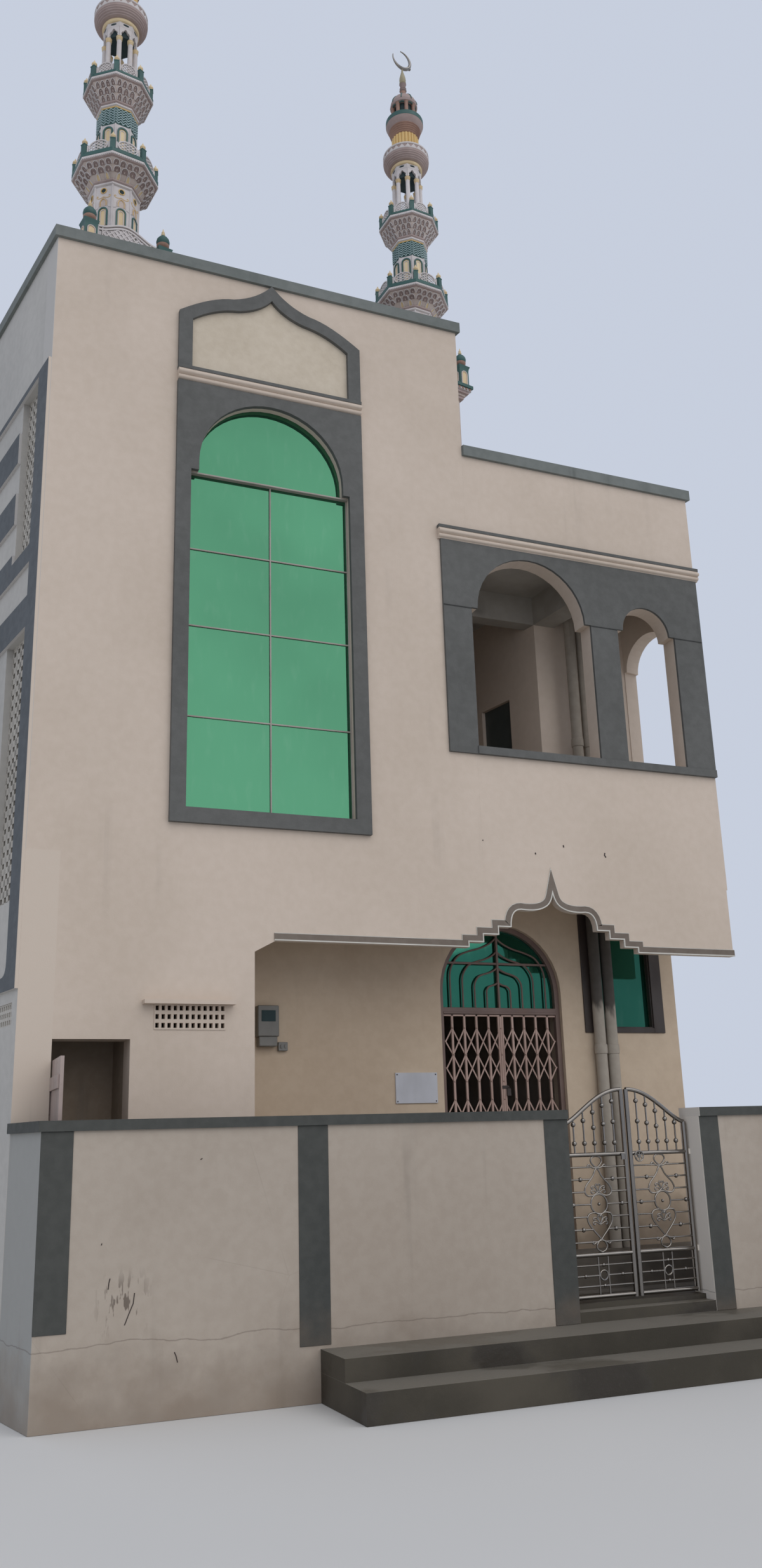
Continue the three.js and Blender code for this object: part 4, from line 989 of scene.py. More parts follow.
@dataclass
class TallWindow:
    """The tall block's window: bars over the glass and a ledge under the arched pane."""

    left: float = 1170
    right: float = 2587
    bottom: float = 4157
    ledge: float = 7085
    middle: float = 1881
    bars: tuple[float, ...] = (6388, 5705, 4926)
    glass: float = 50.0
    half_bar: float = 6.0
    deep: float = 14.0

    def build(self) -> None:
        """Makes the thin bars and the ledge under the arched pane."""
        front, back = self.glass - self.deep, self.glass - 0.5
        half, foot = self.half_bar, self.bottom
        bars = Solid().box(at(self.middle - half, front, foot), at(self.middle + half, back, self.ledge))
        for level in self.bars:
            bars.box(at(self.left, front + 3, level - half), at(self.right, back, level + half))
        for x in (self.left, self.right - 2 * half):
            bars.box(at(x, front, foot), at(x + 2 * half, back, self.ledge))
        bars.box(at(self.left, front, foot), at(self.right, back, foot + 2 * half))
        bars.piece("tall_window_bars", Finish.BARS, soften=0.002)
        ledge = Solid().box(at(self.left, 8, self.ledge - self.deep), at(self.right, back, self.ledge))
        ledge.piece("tall_window_ledge", Finish.BARS, soften=0.002)


@dataclass
class Panel:
    """The rough plaster inside the pointed band over the window."""

    middle: float = 1881
    half: float = 836
    band: float = 118
    foot: float = 8060
    shoulder: float = 8608
    waist: float = 8838
    waist_offset: float = 353
    top: float = 9070

    def outline(self) -> list[Point]:
        """Half of the panel's edge, from its foot to its point, as offsets from the middle and heights."""
        drop = self.band
        shoulder = (self.half - drop, self.shoulder - drop * 0.5)
        bulge = (self.waist_offset + 200 - drop * 0.3, self.waist - 28 - drop * 0.9)
        waist = (self.waist_offset - drop * 0.45, self.waist - drop * 0.9)
        hollow = (140 - drop * 0.35, self.waist + 62 - drop * 0.95)
        point = (0.0, self.top - drop * 1.3)
        foot = (self.half - drop, self.foot)
        return [foot, *bend(shoulder, bulge, waist, 8), *bend(waist, hollow, point, 8)]

    def build(self) -> None:
        """Makes the panel."""
        half = self.outline()
        edge = [at(self.middle - x, 0, z) for x, z in half]
        edge += [at(self.middle + x, 0, z) for x, z in reversed(half[:-1])]
        Solid().prism(edge, Vector((0, -0.006, 0))).piece("window_rough_panel", Finish.ROUGH)


@dataclass
class Moulding:
    """A plaster moulding along the front, with rounded steps and a grey top."""

    name: str
    left: float
    right: float
    bottom: float
    top: float
    reach: float

    def profile(self) -> list[Point]:
        """The section, as shares of its reach and height from the foot up."""
        beads = [(0.0, 0.0), (0.34, 0.0), (0.38, 0.05)]
        for reach, low, high in ((0.55, 0.08, 0.34), (0.8, 0.40, 0.66)):
            for share, rise in arc((0, 0), 1, -90, 90, 6):
                beads.append((reach + share * 0.2, low + (high - low) * (rise + 1) / 2))
        return [*beads, (0.72, 0.70), (0.72, 0.75)]

    def build(self) -> None:
        """Makes the moulding and its grey cap."""
        height = self.top - self.bottom
        section = [*self.profile(), (0.0, 0.75)]
        side = [at(self.left, -self.reach * r, self.bottom + height * h) for r, h in section]
        run = Vector(((self.right - self.left) / 1000, 0, 0))
        Solid().prism(side, run).piece(self.name + "_moulding", Finish.CREAM, replaces=[self.name])
        foot = at(self.left - 2, -self.reach * 0.78, self.bottom + height * 0.76)
        cap = Solid().box(foot, at(self.right + 2, 0, self.top))
        cap.piece(self.name + "_cap", Finish.TRIM, soften=0.004)


@dataclass
class Fascia:
    """The painted edge along the hanging fascia over the veranda."""

    middle: float = 4384
    level: float = 3150
    left: float = 1890
    steps: tuple[Point, ...] = ((820, 3195), (683, 3262), (539, 3330))
    foot: float = 418
    top: float = 3483
    shoulder: float = 315
    neck: float = 77.0
    neck_top: float = 3515
    point: float = 3630
    white: float = 10.0
    width: float = 56.0
    upper: float = 6.0
    end: float = 6238

    def half(self) -> list[Point]:
        """Half of the lower edge, from the straight part up to the point, as offsets and heights."""
        line: list[Point] = []
        level = self.level
        for reach, higher in self.steps:
            line += [(reach, level), (reach, higher)]
            level = higher
        line.append((self.foot, level))
        shoulder, neck = (self.shoulder, self.top), (self.neck, self.neck_top)
        for pull, end in (
            ((self.foot, self.top), shoulder),
            ((self.neck + 80, self.top - 15), neck),
            ((self.neck / 4, self.neck_top + 30), (0.0, self.point)),
        ):
            line += bend(line[-1], pull, end, 7)[1:]
        return line

    def build(self) -> None:
        """Makes the white line at the edge, the grey band over it and the white line over that."""
        half = self.half()
        edge = [(self.left, self.level), *((self.middle - x, z) for x, z in half)]
        edge += [(self.middle + x, z) for x, z in reversed(half[:-1])]
        edge.append((self.end, self.level))
        for name, low, high, proud, finish in (
            ("white_line", 0.0, self.white, 12, Finish.LINE),
            ("grey_band", self.white, self.width, 9, Finish.TAUPE),
            ("upper_line", self.width, self.width + self.upper, 5, Finish.LINE),
        ):
            first, second = ([at(x, 0, z) for x, z in offset(edge, side)] for side in (low, high))
            band = Solid().ribbon(first, second, Vector((0, -proud / 1000, 0)))
            band.piece("fascia_" + name, finish)


@dataclass
class YardStrips:
    """The grey strips painted and raised on the yard wall's front."""

    front: float = -625
    top: float = 1762
    proud: float = 6.0
    strips: tuple[tuple[str, float, float, float], ...] = (
        ("first", 122, 329, 552),
        ("second", 1854, 2075, 350),
        ("third", 3800, 4006, 328),
        ("fourth", 5210, 5394, 328),
        ("fifth", 6155, 6361, 328),
    )

    def build(self) -> None:
        """Makes the strips."""
        for name, left, right, foot in self.strips:
            low, high = at(left, self.front - self.proud, foot), at(right, self.front + 1, self.top)
            Solid().box(low, high).piece(f"yard_strip_{name}", Finish.STRIP, soften=0.003)


@dataclass
class Screens:
    """The four pierced screens in the left side wall."""

    bays: tuple[float, ...] = (0.0, 4060)
    inset: float = 50.0
    thick: float = 40.0
    pitch: float = 92.0
    margin: float = 15.0
    sizes: tuple[tuple[str, float, float, float, float], ...] = (
        ("upper", 245, 700, 6310, 7850),
        ("lower", 235, 762, 3425, 5590),
    )

    def bar(self) -> Solid:
        """A bar one metre high, wide inside and narrow outside, so that the holes taper."""
        narrow, wide, deep = 0.014, 0.026, self.thick / 1000
        section = [(-narrow, 0, 0), (narrow, 0, 0), (wide, deep, 0), (-wide, deep, 0)]
        return Solid().prism([Vector(p) for p in section], Vector((0, 0, 1)))

    def build(self, trees: Trees) -> None:
        """Makes the screens."""
        for bay, start in enumerate(self.bays, 1):
            for level, near, far, low, high in self.sizes:
                width, height = far - near - 2 * self.margin, high - low - 2 * self.margin
                sizes = {"Width": width / 1000, "Height": height / 1000}
                counts = {"Columns": round(width / self.pitch), "Rows": round(height / self.pitch)}
                grown = trees.lattice.grow(self.bar(), Finish.WHITE, **counts, **sizes)
                corner = (start + near + self.margin, -(self.inset + self.thick), low + self.margin)
                grown.moved(Matrix.Translation([c / 1000 for c in corner])).moved(turned(90 + SKEW))
                grown.moved(Matrix.Translation(at(0, 0, 0)))
                name = f"{level}_screen_{bay}"
                grown.piece(name + "_lattice", Finish.WHITE, replaces=[name])


EIGHTH = math.pi / 8
COS_EIGHTH = math.cos(EIGHTH)
TAN_EIGHTH = math.tan(EIGHTH)


def arch_line(
    middle: float, half: float, foot: float, spring: float, rise: float, steps: int = 7
) -> list[Point]:
    """The line of an arch.

    Args:
        middle: Where its middle is.
        half: Half its width.
        foot: The level of its feet.
        spring: The level where its legs end.
        rise: Its height over that; more than half its width gives it a point.
        steps: How many pieces each half of the head has.

    Returns:
        The points from its left foot over its top to its right foot.
    """
    right = [(half, foot - spring)]
    for i in range(steps + 1):
        t = i / steps
        if rise > half:
            right.append((half * (1 - t * t), rise * (1.2 * t * (1 - t) + t * t)))
        else:
            right.append((half * math.cos(t * math.pi / 2), rise * math.sin(t * math.pi / 2)))
    left = [(middle - x, spring + z) for x, z in right]
    return left + [(middle + x, spring + z) for x, z in reversed(right[:-1])]


def mirrored(line: Line) -> list[Point]:
    """The same line on the other side of offset 0."""
    return [(-x, z) for x, z in line]


@dataclass(frozen=True)
class Side:
    """One flat side of an upright body round the origin, which may lean out as it rises."""

    low: float
    foot: float
    high: float
    head: float

    def reach(self, z: float) -> float:
        """How far the side is from the axis at a level."""
        return self.foot + (self.head - self.foot) * (z - self.low) / (self.high - self.low)

    def half(self, z: float) -> float:
        """Half the side's width at a level, for a body of eight sides."""
        return self.reach(z) * TAN_EIGHTH

    @property
    def normal(self) -> Vector:
        """The direction that the side faces."""
        return Vector((1, 0, -(self.head - self.foot) / (self.high - self.low))).normalized()

    def at(self, across: float, z: float, out: float = 0.0) -> Vector:
        """A point on the side, or over it by out."""
        return Vector((self.reach(z), across, z)) + self.normal * out


def upright(foot: float, reach: float) -> Side:
    """A side that doesn't lean, so far from the axis."""
    return Side(foot, reach, foot + 1, reach)


@dataclass
class Kit:
    """The faces of one part of a minaret by finish: those made once, and those that its sides repeat."""

    trees: Trees
    whole: dict[Finish, Solid] = field(default_factory=dict)
    side: dict[Finish, Solid] = field(default_factory=dict)

    def once(self, finish: Finish) -> Solid:
        """What is made once in a finish."""
        return self.whole.setdefault(finish, Solid())

    def each(self, finish: Finish) -> Solid:
        """What each side has in a finish, on the side that faces +X."""
        return self.side.setdefault(finish, Solid())

    def eight(self, finish: Finish, profile: Line) -> None:
        """Turns a profile round the axis with eight sides."""
        self.once(finish).lathe(profile, 8, turn=EIGHTH)

    def rounds(self, finish: Finish, profile: Line, sides: int, foot: float) -> None:
        """Turns a profile in millimetres round the axis, with its levels counted from foot."""
        self.once(finish).lathe([(r / 1000, foot + z / 1000) for r, z in profile], sides)

    def niche(
        self, side: Side, edge: Line, fill: Finish, rim: Finish, band: float, proud: float = 0.008
    ) -> None:
        """Fills an outline on a side and frames it.

        Args:
            side: The side.
            edge: The outline from its left foot round to its right foot.
            fill: The finish inside.
            rim: The frame's finish.
            band: How wide the frame is.
            proud: How far the frame stands out.
        """
        under = [side.at(u, z, -0.002) for u, z in edge]
        self.each(fill).prism(under, side.normal * (0.002 + proud * 0.3))
        outer = [side.at(u, z, -0.002) for u, z in offset(edge, band)]
        self.each(rim).ribbon(under, outer, side.normal * (0.002 + proud))

    def bar(self, side: Side, finish: Finish, line: Line, thick: float, sides: int = 6) -> None:
        """Adds a round bar along a line on a side."""
        self.each(finish).tube([side.at(u, z) for u, z in line], thick, sides)

    def row(self, finish: Finish, places: Sequence[Vector], radius: float) -> None:
        """Adds a row of beads on every side."""
        grown = self.trees.beads.grow(Solid().add(places, []), finish, Radius=radius, Detail=2)
        self.each(finish).join(grown)

    def spread(self, count: int = 8) -> "Kit":
        """Repeats the sides' faces round the axis and returns itself."""
        for finish, seed in self.side.items():
            sizes = {"Count": count, "Shift": (0.0, 0.0, 0.0), "Turn": 2 * math.pi / count}
            self.once(finish).join(self.trees.repeat.grow(seed, finish, **sizes))
        self.side = {}
        return self

    def put(self, place: Matrix, name: str, replaced: str) -> None:
        """Makes one piece for each finish, with the first standing for a solid."""
        for i, (finish, faces) in enumerate(self.whole.items()):
            copy = Solid().join(faces).moved(place)
            copy.piece(f"{name}_{finish.name.lower()}", finish, replaces=[] if i else [replaced])


@dataclass
class Gallery:
    """One gallery round a minaret's shaft: neck, flared underside, slab and rail."""

    shaft: float
    ring: float
    slab: float
    floor: float
    edge: float
    golden: bool

    def flare(self, kit: Kit) -> None:
        """Makes the neck's mouldings and the underside with its rows of recesses."""
        shaft, ring, head = self.shaft, self.ring, self.slab - 0.015
        foot = ring + 0.052
        neck = [(0.004, -0.014), (0.02, -0.004), (0.02, 0.012), (0.01, 0.018), (0.01, 0.026)]
        kit.eight(Finish.PALE, [(shaft + r, ring + z) for r, z in neck])
        cove = [(shaft + 0.012, ring + 0.024), (shaft + 0.026, ring + 0.034), (shaft + 0.022, foot)]
        kit.eight(Finish.MAUVE, cove)
        near, far = shaft + 0.008, self.edge - 0.03
        kit.eight(Finish.MINARET, [(shaft, foot - 0.01), (near, foot), (far, head), (far, head + 0.01)])
        side = Side(foot, near * COS_EIGHTH, head, far * COS_EIGHTH)
        rise = head - foot
        rows = ((0.04, 0.3, 3), (0.36, 0.62, 3), (0.68, 0.92, 4))
        low = foot + rise * rows[0][0]
        if self.golden:
            for share in (-0.5, 0.5):
                edge = arch_line(share * side.half(low), 0.015, low, low + rise * 0.15, rise * 0.17)
                kit.niche(side, edge, Finish.STRAW, Finish.PALE, 0.007)
        for start, end, count in rows[1 if self.golden else 0 :]:
            bottom, top = foot + rise * start, foot + rise * end
            half_way = (bottom + top) / 2
            width = side.half(half_way) - 0.006
            wide = width / count - 0.009
            for i in range(count):
                middle = width * ((2 * i + 1) / count - 1)
                edge = arch_line(middle, wide, bottom, half_way, (top - bottom) * 0.62, 4)
                # The dark fill of each recess is painted shade.
                kit.niche(side, edge, Finish.DUSK, Finish.PALE, 0.0055, 0.011)
                kit.bar(side, Finish.MINARET, [(middle, bottom + 0.006), (middle, half_way)], 0.006)
                lobes = arc((middle, half_way + 0.006), wide * 0.45, 150, 30, 5)
                kit.bar(side, Finish.MINARET, lobes, 0.0045)

    def edges(self, kit: Kit) -> None:
        """Makes the slab's edge: mouldings, a row of beads and a green band."""
        edge, slab, head = self.edge, self.slab, self.slab - 0.015
        for finish, profile in (
            (Finish.MAUVE, [(0.034, head - 0.002), (0.012, slab - 0.01), (0.012, slab + 0.002)]),
            (Finish.PALE, [(0.02, slab), (0.004, slab), (0.004, slab + 0.032)]),
            (Finish.GREEN, [(0.008, slab + 0.03), (0.001, slab + 0.036), (0.001, self.floor)]),
        ):
            kit.eight(finish, [(edge - inset, z) for inset, z in profile])
        side = upright(slab, (edge - 0.003) * COS_EIGHTH)
        half = side.half(slab)
        count = round(half / 0.0105)
        places = [side.at(half * ((2 * i + 1) / count - 1), slab + 0.008) for i in range(count)]
        kit.row(Finish.PALE, places, 0.0075)

    def rail(self, kit: Kit) -> None:
        """Makes the rail: green posts with yellow bulbs, and pierced white panels."""
        floor = self.floor
        reach = self.edge - 0.034
        side = upright(floor, reach * COS_EIGHTH)
        half = side.half(floor)
        corner = Vector((reach * COS_EIGHTH, half, 0))
        post = [(0.037, -0.01), (0.037, 0.108), (0.042, 0.113), (0.042, 0.122)]
        kit.each(Finish.GREEN).lathe([(r, floor + z) for r, z in post], 4, corner, EIGHTH * 3)
        bulb = [(0.018, 0.12), (0.029, 0.127), (0.02, 0.138), (0.03, 0.152), (0.029, 0.166), (0.013, 0.184)]
        kit.each(Finish.STRAW).lathe([(r, floor + z) for r, z in (*bulb, (0.004, 0.212))], 12, corner)
        high, head = 0.074, floor + 0.104
        clear = half - 0.03
        wide = clear - 0.02
        middle = floor + high
        ring = [(wide * u, middle + high * z) for u, z in arc((0, 0), 1, 0, 345, 23)]
        inner = [(u * 0.86, middle + (z - middle) * 0.84) for u, z in ring]
        lines = [[side.at(u, z, -0.008) for u, z in line] for line in (inner, ring)]
        kit.each(Finish.PALE).ribbon(*lines, side.normal * 0.016, closed=True)
        for way in (-1, 1):
            corners = ((clear, floor), (wide, floor), (wide, head), (clear, head))
            cheek = [side.at(way * u, z, -0.007) for u, z in corners]
            kit.each(Finish.PALE).prism(cheek, side.normal * 0.014)
        kit.bar(side, Finish.PALE, [(-clear, floor + 0.008), (clear, floor + 0.008)], 0.01)
        for shift in (-0.75, -0.25, 0.25, 0.75):
            for way in (-1, 1):
                line = []
                for k in range(-12, 13):
                    u, z = k / 12 + shift, k / 12
                    if u * u + z * z < 0.8:
                        line.append((way * u * wide, middle + z * high))
                kit.bar(side, Finish.PALE, line, 0.0062, 4)

    def build(self, kit: Kit) -> None:
        """Makes the gallery."""
        self.flare(kit)
        self.edges(kit)
        self.rail(kit)


@dataclass
class Minaret:
    """The painted and moulded work of the minarets, made once about the axis and placed twice."""

    trees: Trees
    lower: float = 0.256
    upper: float = 0.210
    platform: float = 10.29
    parapet: float = 0.396
    lantern_foot: float = 13.0
    places: tuple[tuple[str, float, float, float, float, float], ...] = (
        ("left", 771, 1954, 8.64, -2.7, -2.0),
        ("right", 4570, 2697, 6.975, -5.7, -10.0),
    )

    def turret(self) -> Kit:
        """A corner turret round its own axis: a green body with niches, and an onion dome."""
        kit = Kit(self.trees)
        foot = self.platform
        body = [(0.093, -0.005), (0.093, 0.205), (0.097, 0.235), (0.11, 0.262), (0.113, 0.272), (0.05, 0.28)]
        kit.once(Finish.GREEN).lathe([(r, foot + z) for r, z in body], 4, turn=EIGHTH * 2)
        arch = arch_line(0, 0.032, foot + 0.02, foot + 0.155, 0.032)
        kit.niche(upright(foot, 0.066), arch, Finish.STRAW, Finish.MINARET, 0.012)
        kit.spread(4)
        for finish, sides, profile in (
            (Finish.RUST, 16, [(40, 274), (44, 300), (56, 310), (64, 326), (66, 344), (54, 354)]),
            (Finish.GREEN, 16, [(56, 342), (67, 360), (70, 385), (64, 412), (46, 437), (26, 455), (15, 470)]),
            (Finish.STRAW, 12, [(17, 466), (23, 479), (14, 490), (18, 505), (10, 518), (3, 550)]),
        ):
            kit.rounds(finish, profile, sides, foot)
        return kit

    def parapet_side(self, kit: Kit) -> None:
        """A pierced parapet panel on the side that faces +X, higher at its middle."""
        low, wide, inner = self.platform, 0.325, 0.256
        side = upright(low, self.parapet)

        def top(u: float) -> float:
            """The panel's top level at an offset."""
            return low + 0.285 + 0.11 * math.cos(math.pi * u / (2 * wide)) ** 2

        line = [wide * (i / 12 - 1) for i in range(25)]
        for shift, proud in ((0.0, 0.016), (0.034, 0.011)):
            upper = [side.at(u, top(u) - shift, -proud) for u in line]
            lower = [side.at(u, top(u) - shift - 0.018, -proud) for u in line]
            kit.each(Finish.PALE).ribbon(upper, lower, side.normal * proud * 2)
        for u in (-wide, wide - 0.03, -0.265, 0.253):
            post = [side.at(u, low, -0.012), side.at(u + (0.03 if abs(u) > 0.28 else 0.012), low, -0.012)]
            post += [p + up(top(p.y) - low - 0.01) for p in reversed(post)]
            kit.each(Finish.PALE).prism(post, side.normal * 0.024)
        base = [side.at(-wide, low, -0.014), side.at(wide, low, -0.014)]
        base += [p + up(0.03) for p in reversed(base)]
        kit.each(Finish.PALE).prism(base, side.normal * 0.028)
        for start in range(-9, 5):
            line = []
            for k in range(16):
                u, z = start * 0.064 + k * 0.024, low + 0.03 + k * 0.024
                if abs(u) <= inner and z <= top(u) - 0.04:
                    line.append((u, z))
            if len(line) > 1:
                kit.bar(side, Finish.PALE, line, 0.0095, 4)
                kit.bar(side, Finish.PALE, mirrored(line), 0.0095, 4)

    def tower(self, roof: float) -> Kit:
        """The square tower with its stepped cornice, parapet and turrets."""
        kit = Kit(self.trees)
        for half, low, high, finish in (
            (0.372, roof, 10.135, Finish.MINARET),
            (0.41, 10.13, 10.164, Finish.MAUVE),
            (0.426, 10.163, 10.191, Finish.MINARET),
            (0.455, 10.19, 10.223, Finish.MAUVE),
            (0.478, 10.222, 10.251, Finish.PALE),
            (0.496, 10.25, self.platform, Finish.GREEN),
        ):
            kit.once(finish).box((-half, -half, low), (half, half, high))
        for i in range(19):
            u = (i - 9) * 0.05
            kit.each(Finish.RUST).box((0.47, u - 0.013, 10.224), (0.485, u + 0.013, 10.246))
        self.parapet_side(kit)
        for finish, faces in self.turret().whole.items():
            kit.each(finish).join(faces, Vector((self.parapet, self.parapet, 0)))
        return kit.spread(4)

    def shaft(self) -> Kit:
        """The eight-sided shaft with its niches, ridges and galleries."""
        kit = Kit(self.trees)
        lower = upright(10.2, self.lower * COS_EIGHTH)
        kit.eight(Finish.PALE, [(self.lower, 10.285), (self.lower, 11.3)])
        kit.bar(lower, Finish.PALE, [(lower.half(0), 10.29), (lower.half(0), 11.3)], 0.011)
        for half, foot, spring, rise, fill, rim, band, proud in (
            (0.039, 10.8, 10.973, 0.039, Finish.STRAW, Finish.GREEN, 0.015, 0.012),
            (0.024, 10.8, 10.965, 0.024, Finish.STRAW, Finish.PALE, 0.007, 0.008),
            (0.03, 11.045, 11.088, 0.045, Finish.MINARET, Finish.GOLD, 0.006, 0.008),
            (0.045, 11.04, 11.085, 0.066, Finish.PALE, Finish.MINARET, 0.006, 0.004),
        ):
            kit.niche(lower, arch_line(0, half, foot, spring, rise), fill, rim, band, proud)
        for way in (1, -1):
            curl = [(0, 11.165), (0.02, 11.155), (0.05, 11.148), (0.074, 11.16), (0.07, 11.178)]
            line = [(way * u, z) for u, z in smooth([*curl, (0.058, 11.172)], 3)]
            kit.bar(lower, Finish.GOLD, line, 0.004)
            kit.bar(lower, Finish.PALE, [(way * 0.055, 11.032), (way * 0.09, 11.018)], 0.006)
        circle = arc((0, 11.236), 0.026, 270, -80, 20)
        kit.niche(lower, circle, Finish.HOLLOW, Finish.GOLD, 0.009)
        upper = upright(11.5, self.upper * COS_EIGHTH)
        kit.eight(Finish.PALE, [(self.upper, 11.59), (self.upper, 12.128)])
        kit.bar(upper, Finish.PALE, [(upper.half(0), 11.6), (upper.half(0), 12.128)], 0.01)
        kit.niche(upper, arch_line(0, 0.039, 11.74, 12.04, 0.039), Finish.STRAW, Finish.GREEN, 0.019, 0.013)
        kit.niche(upper, arch_line(0, 0.022, 11.74, 12.03, 0.022), Finish.STRAW, Finish.PALE, 0.007)
        kit.eight(Finish.GREEN, [(self.upper - 0.001, 12.125), (self.upper - 0.001, 12.342)])
        half = upper.half(0)
        for i in range(6):
            line = []
            for k in range(25):
                u = half * (k / 12 - 1)
                line.append((u, 12.146 + i * 0.033 + 0.0125 * math.cos(math.pi * k / 4)))
            low = [upper.at(u, z, -0.003) for u, z in line]
            high = [upper.at(u, z + 0.012, -0.003) for u, z in line]
            kit.each(Finish.WAVE).ribbon(low, high, upper.normal * 0.015)
        kit.eight(Finish.GOLD, [(self.upper + 0.006, 12.345), (self.upper + 0.006, 12.372)])
        Gallery(self.lower, 11.307, 11.52, 11.60, 0.455, True).build(kit)
        Gallery(self.upper, 12.371, 12.627, 12.69, 0.378, False).build(kit)
        return kit.spread()

    def lantern(self) -> Kit:
        """The open lantern: columns with capitals under a ring of cusped arches."""
        kit = Kit(self.trees)
        kit.eight(Finish.PALE, [(0.198, 12.688), (0.198, 12.73), (0.19, 12.74)])
        corner = around(EIGHTH) * 0.165
        shaft = [(0.038, 12.735), (0.038, 12.755), (0.031, 12.765), (0.028, 12.78), (0.026, 13.285)]
        kit.each(Finish.PALE).lathe(shaft, 14, corner)
        capital = [(0.024, 13.282), (0.031, 13.288), (0.026, 13.297), (0.034, 13.31), (0.028, 13.32)]
        kit.each(Finish.STRAW).lathe([*capital, (0.036, 13.334)], 14, corner)
        side = upright(self.lantern_foot, 0.178 * COS_EIGHTH)
        half = side.half(0)
        cusps = [(0.05, 13.33), (0.053, 13.358), (0.043, 13.37), (0.05, 13.39), (0.038, 13.416)]
        opening = [*cusps, (0.025, 13.42), (0.014, 13.444), (0.0, 13.458)]
        right = [(half, 13.33), (half, 13.536)]
        outline = [*right, *mirrored(right)[::-1], *mirrored(opening), *opening[-2::-1]]
        plate = [side.at(u, z, -0.024) for u, z in outline]
        kit.each(Finish.PALE).prism(plate, side.normal * 0.03)
        kit.eight(Finish.PALE, [(0.184, 13.47), (0.19, 13.48), (0.19, 13.536)])
        # An inner skirt of painted shade that darkens the open arches from within.
        kit.eight(Finish.HOLLOW, [(0.13, 13.36), (0.155, 13.37), (0.155, 13.47)])
        slit = upright(self.lantern_foot, 0.19 * COS_EIGHTH)
        almond = [(0.034 * u, 13.508 + 0.012 * z) for u, z in arc((0, 0), 1, 0, 330, 11)]
        kit.each(Finish.HOLLOW).prism([slit.at(u, z, -0.001) for u, z in almond], slit.normal * 0.003)
        return kit.spread()

    def crescent(self) -> Solid:
        """The steel crescent, open at its upper left and thick at its lower right."""
        path, radii = [], []
        for i in range(41):
            share = i / 40
            angle = math.radians(165 + 292 * share)
            swell = math.sin(math.pi * share) ** 1.5
            radius = 0.142 - 0.016 * swell
            path.append(Vector((radius * math.cos(angle), 0, 15.368 + radius * math.sin(angle))))
            radii.append(0.007 + 0.017 * swell)
        knob = Vector((0.118, 0, 15.288))
        return Solid().tube(path, radii, 10).ball(knob, 0.022)

    def crown(self) -> Kit:
        """All above the lantern: bulge, drum, cup, kiosk, dome, spire and crescent."""
        kit = Kit(self.trees)
        bulge = [(200, 574), (236, 582), (238, 592), (252, 598), (255, 610), (268, 617)]
        bulge += [(271, 630), (281, 638), (283, 652), (289, 658), (291, 690)]
        dome = [(172, 1598), (168, 1630), (156, 1660), (130, 1700), (100, 1730), (50, 1763)]
        for finish, profile in (
            (Finish.STRAW, [(190, 534), (200, 542), (203, 568), (190, 578)]),
            (Finish.MAUVE, bulge),
            (Finish.PALE, [(292, 688), (294, 692), (294, 700), (289, 703)]),
            (Finish.MAUVE, [(286, 700), (286, 755)]),
            (Finish.PALE, [(289, 753), (294, 758), (292, 776), (270, 784)]),
            (Finish.GOLD, [(156, 780), (156, 1064)]),
            (Finish.RUST, [(160 + 4 * i + 9 * (i % 2), 1060 + 12.8 * i) for i in range(11)]),
            (Finish.MAUVE, [(196, 1186), (206, 1200), (222, 1225), (233, 1247), (240, 1268), (230, 1272)]),
            (Finish.GREEN, [(236, 1264), (242, 1272), (242, 1330), (230, 1338)]),
            (Finish.HOLLOW, [(118, 1335), (118, 1570)]),
            (Finish.MAUVE, [(150, 1555), (172, 1562), (178, 1576), (170, 1590), (174, 1600)]),
            (Finish.MAUVE, dome),
            (Finish.RUST, [(50, 1760), (36, 1775), (34, 1850)]),
        ):
            kit.rounds(finish, profile, 48, self.lantern_foot)
        self.drum(kit)
        self.kiosk(kit)
        beads = [(34, 1845), (47, 1860), (34, 1878), (44, 1895), (31, 1912), (40, 1950), (46, 1965)]
        kit.rounds(Finish.DUSK, [*beads, (32, 1980)], 20, self.lantern_foot)
        spire = [(34, 1975), (44, 1990), (36, 2004), (43, 2030), (40, 2070), (28, 2120), (14, 2170)]
        kit.rounds(Finish.OLIVE, [*spire, (7, 2235)], 20, self.lantern_foot)
        kit.once(Finish.STAINLESS).join(self.crescent())
        return kit

    def drum(self, kit: Kit) -> None:
        """Makes the drum's flutes and the row of teeth under it."""
        for i in range(24):
            along = around(2 * math.pi * i / 24)
            across = Vector((-along.y, along.x, 0))
            flute = [along * 0.157 + up(z) for z in (13.782, 14.046, 14.06)]
            kit.once(Finish.GOLD).tube(flute, [0.017, 0.017, 0.006], 8)
            tooth = [(-0.036, 13.703), (0.036, 13.703), (0.0, 13.752)]
            tooth = [along * 0.284 + across * u + up(z) for u, z in tooth]
            kit.once(Finish.PALE).prism(tooth, along * 0.006)

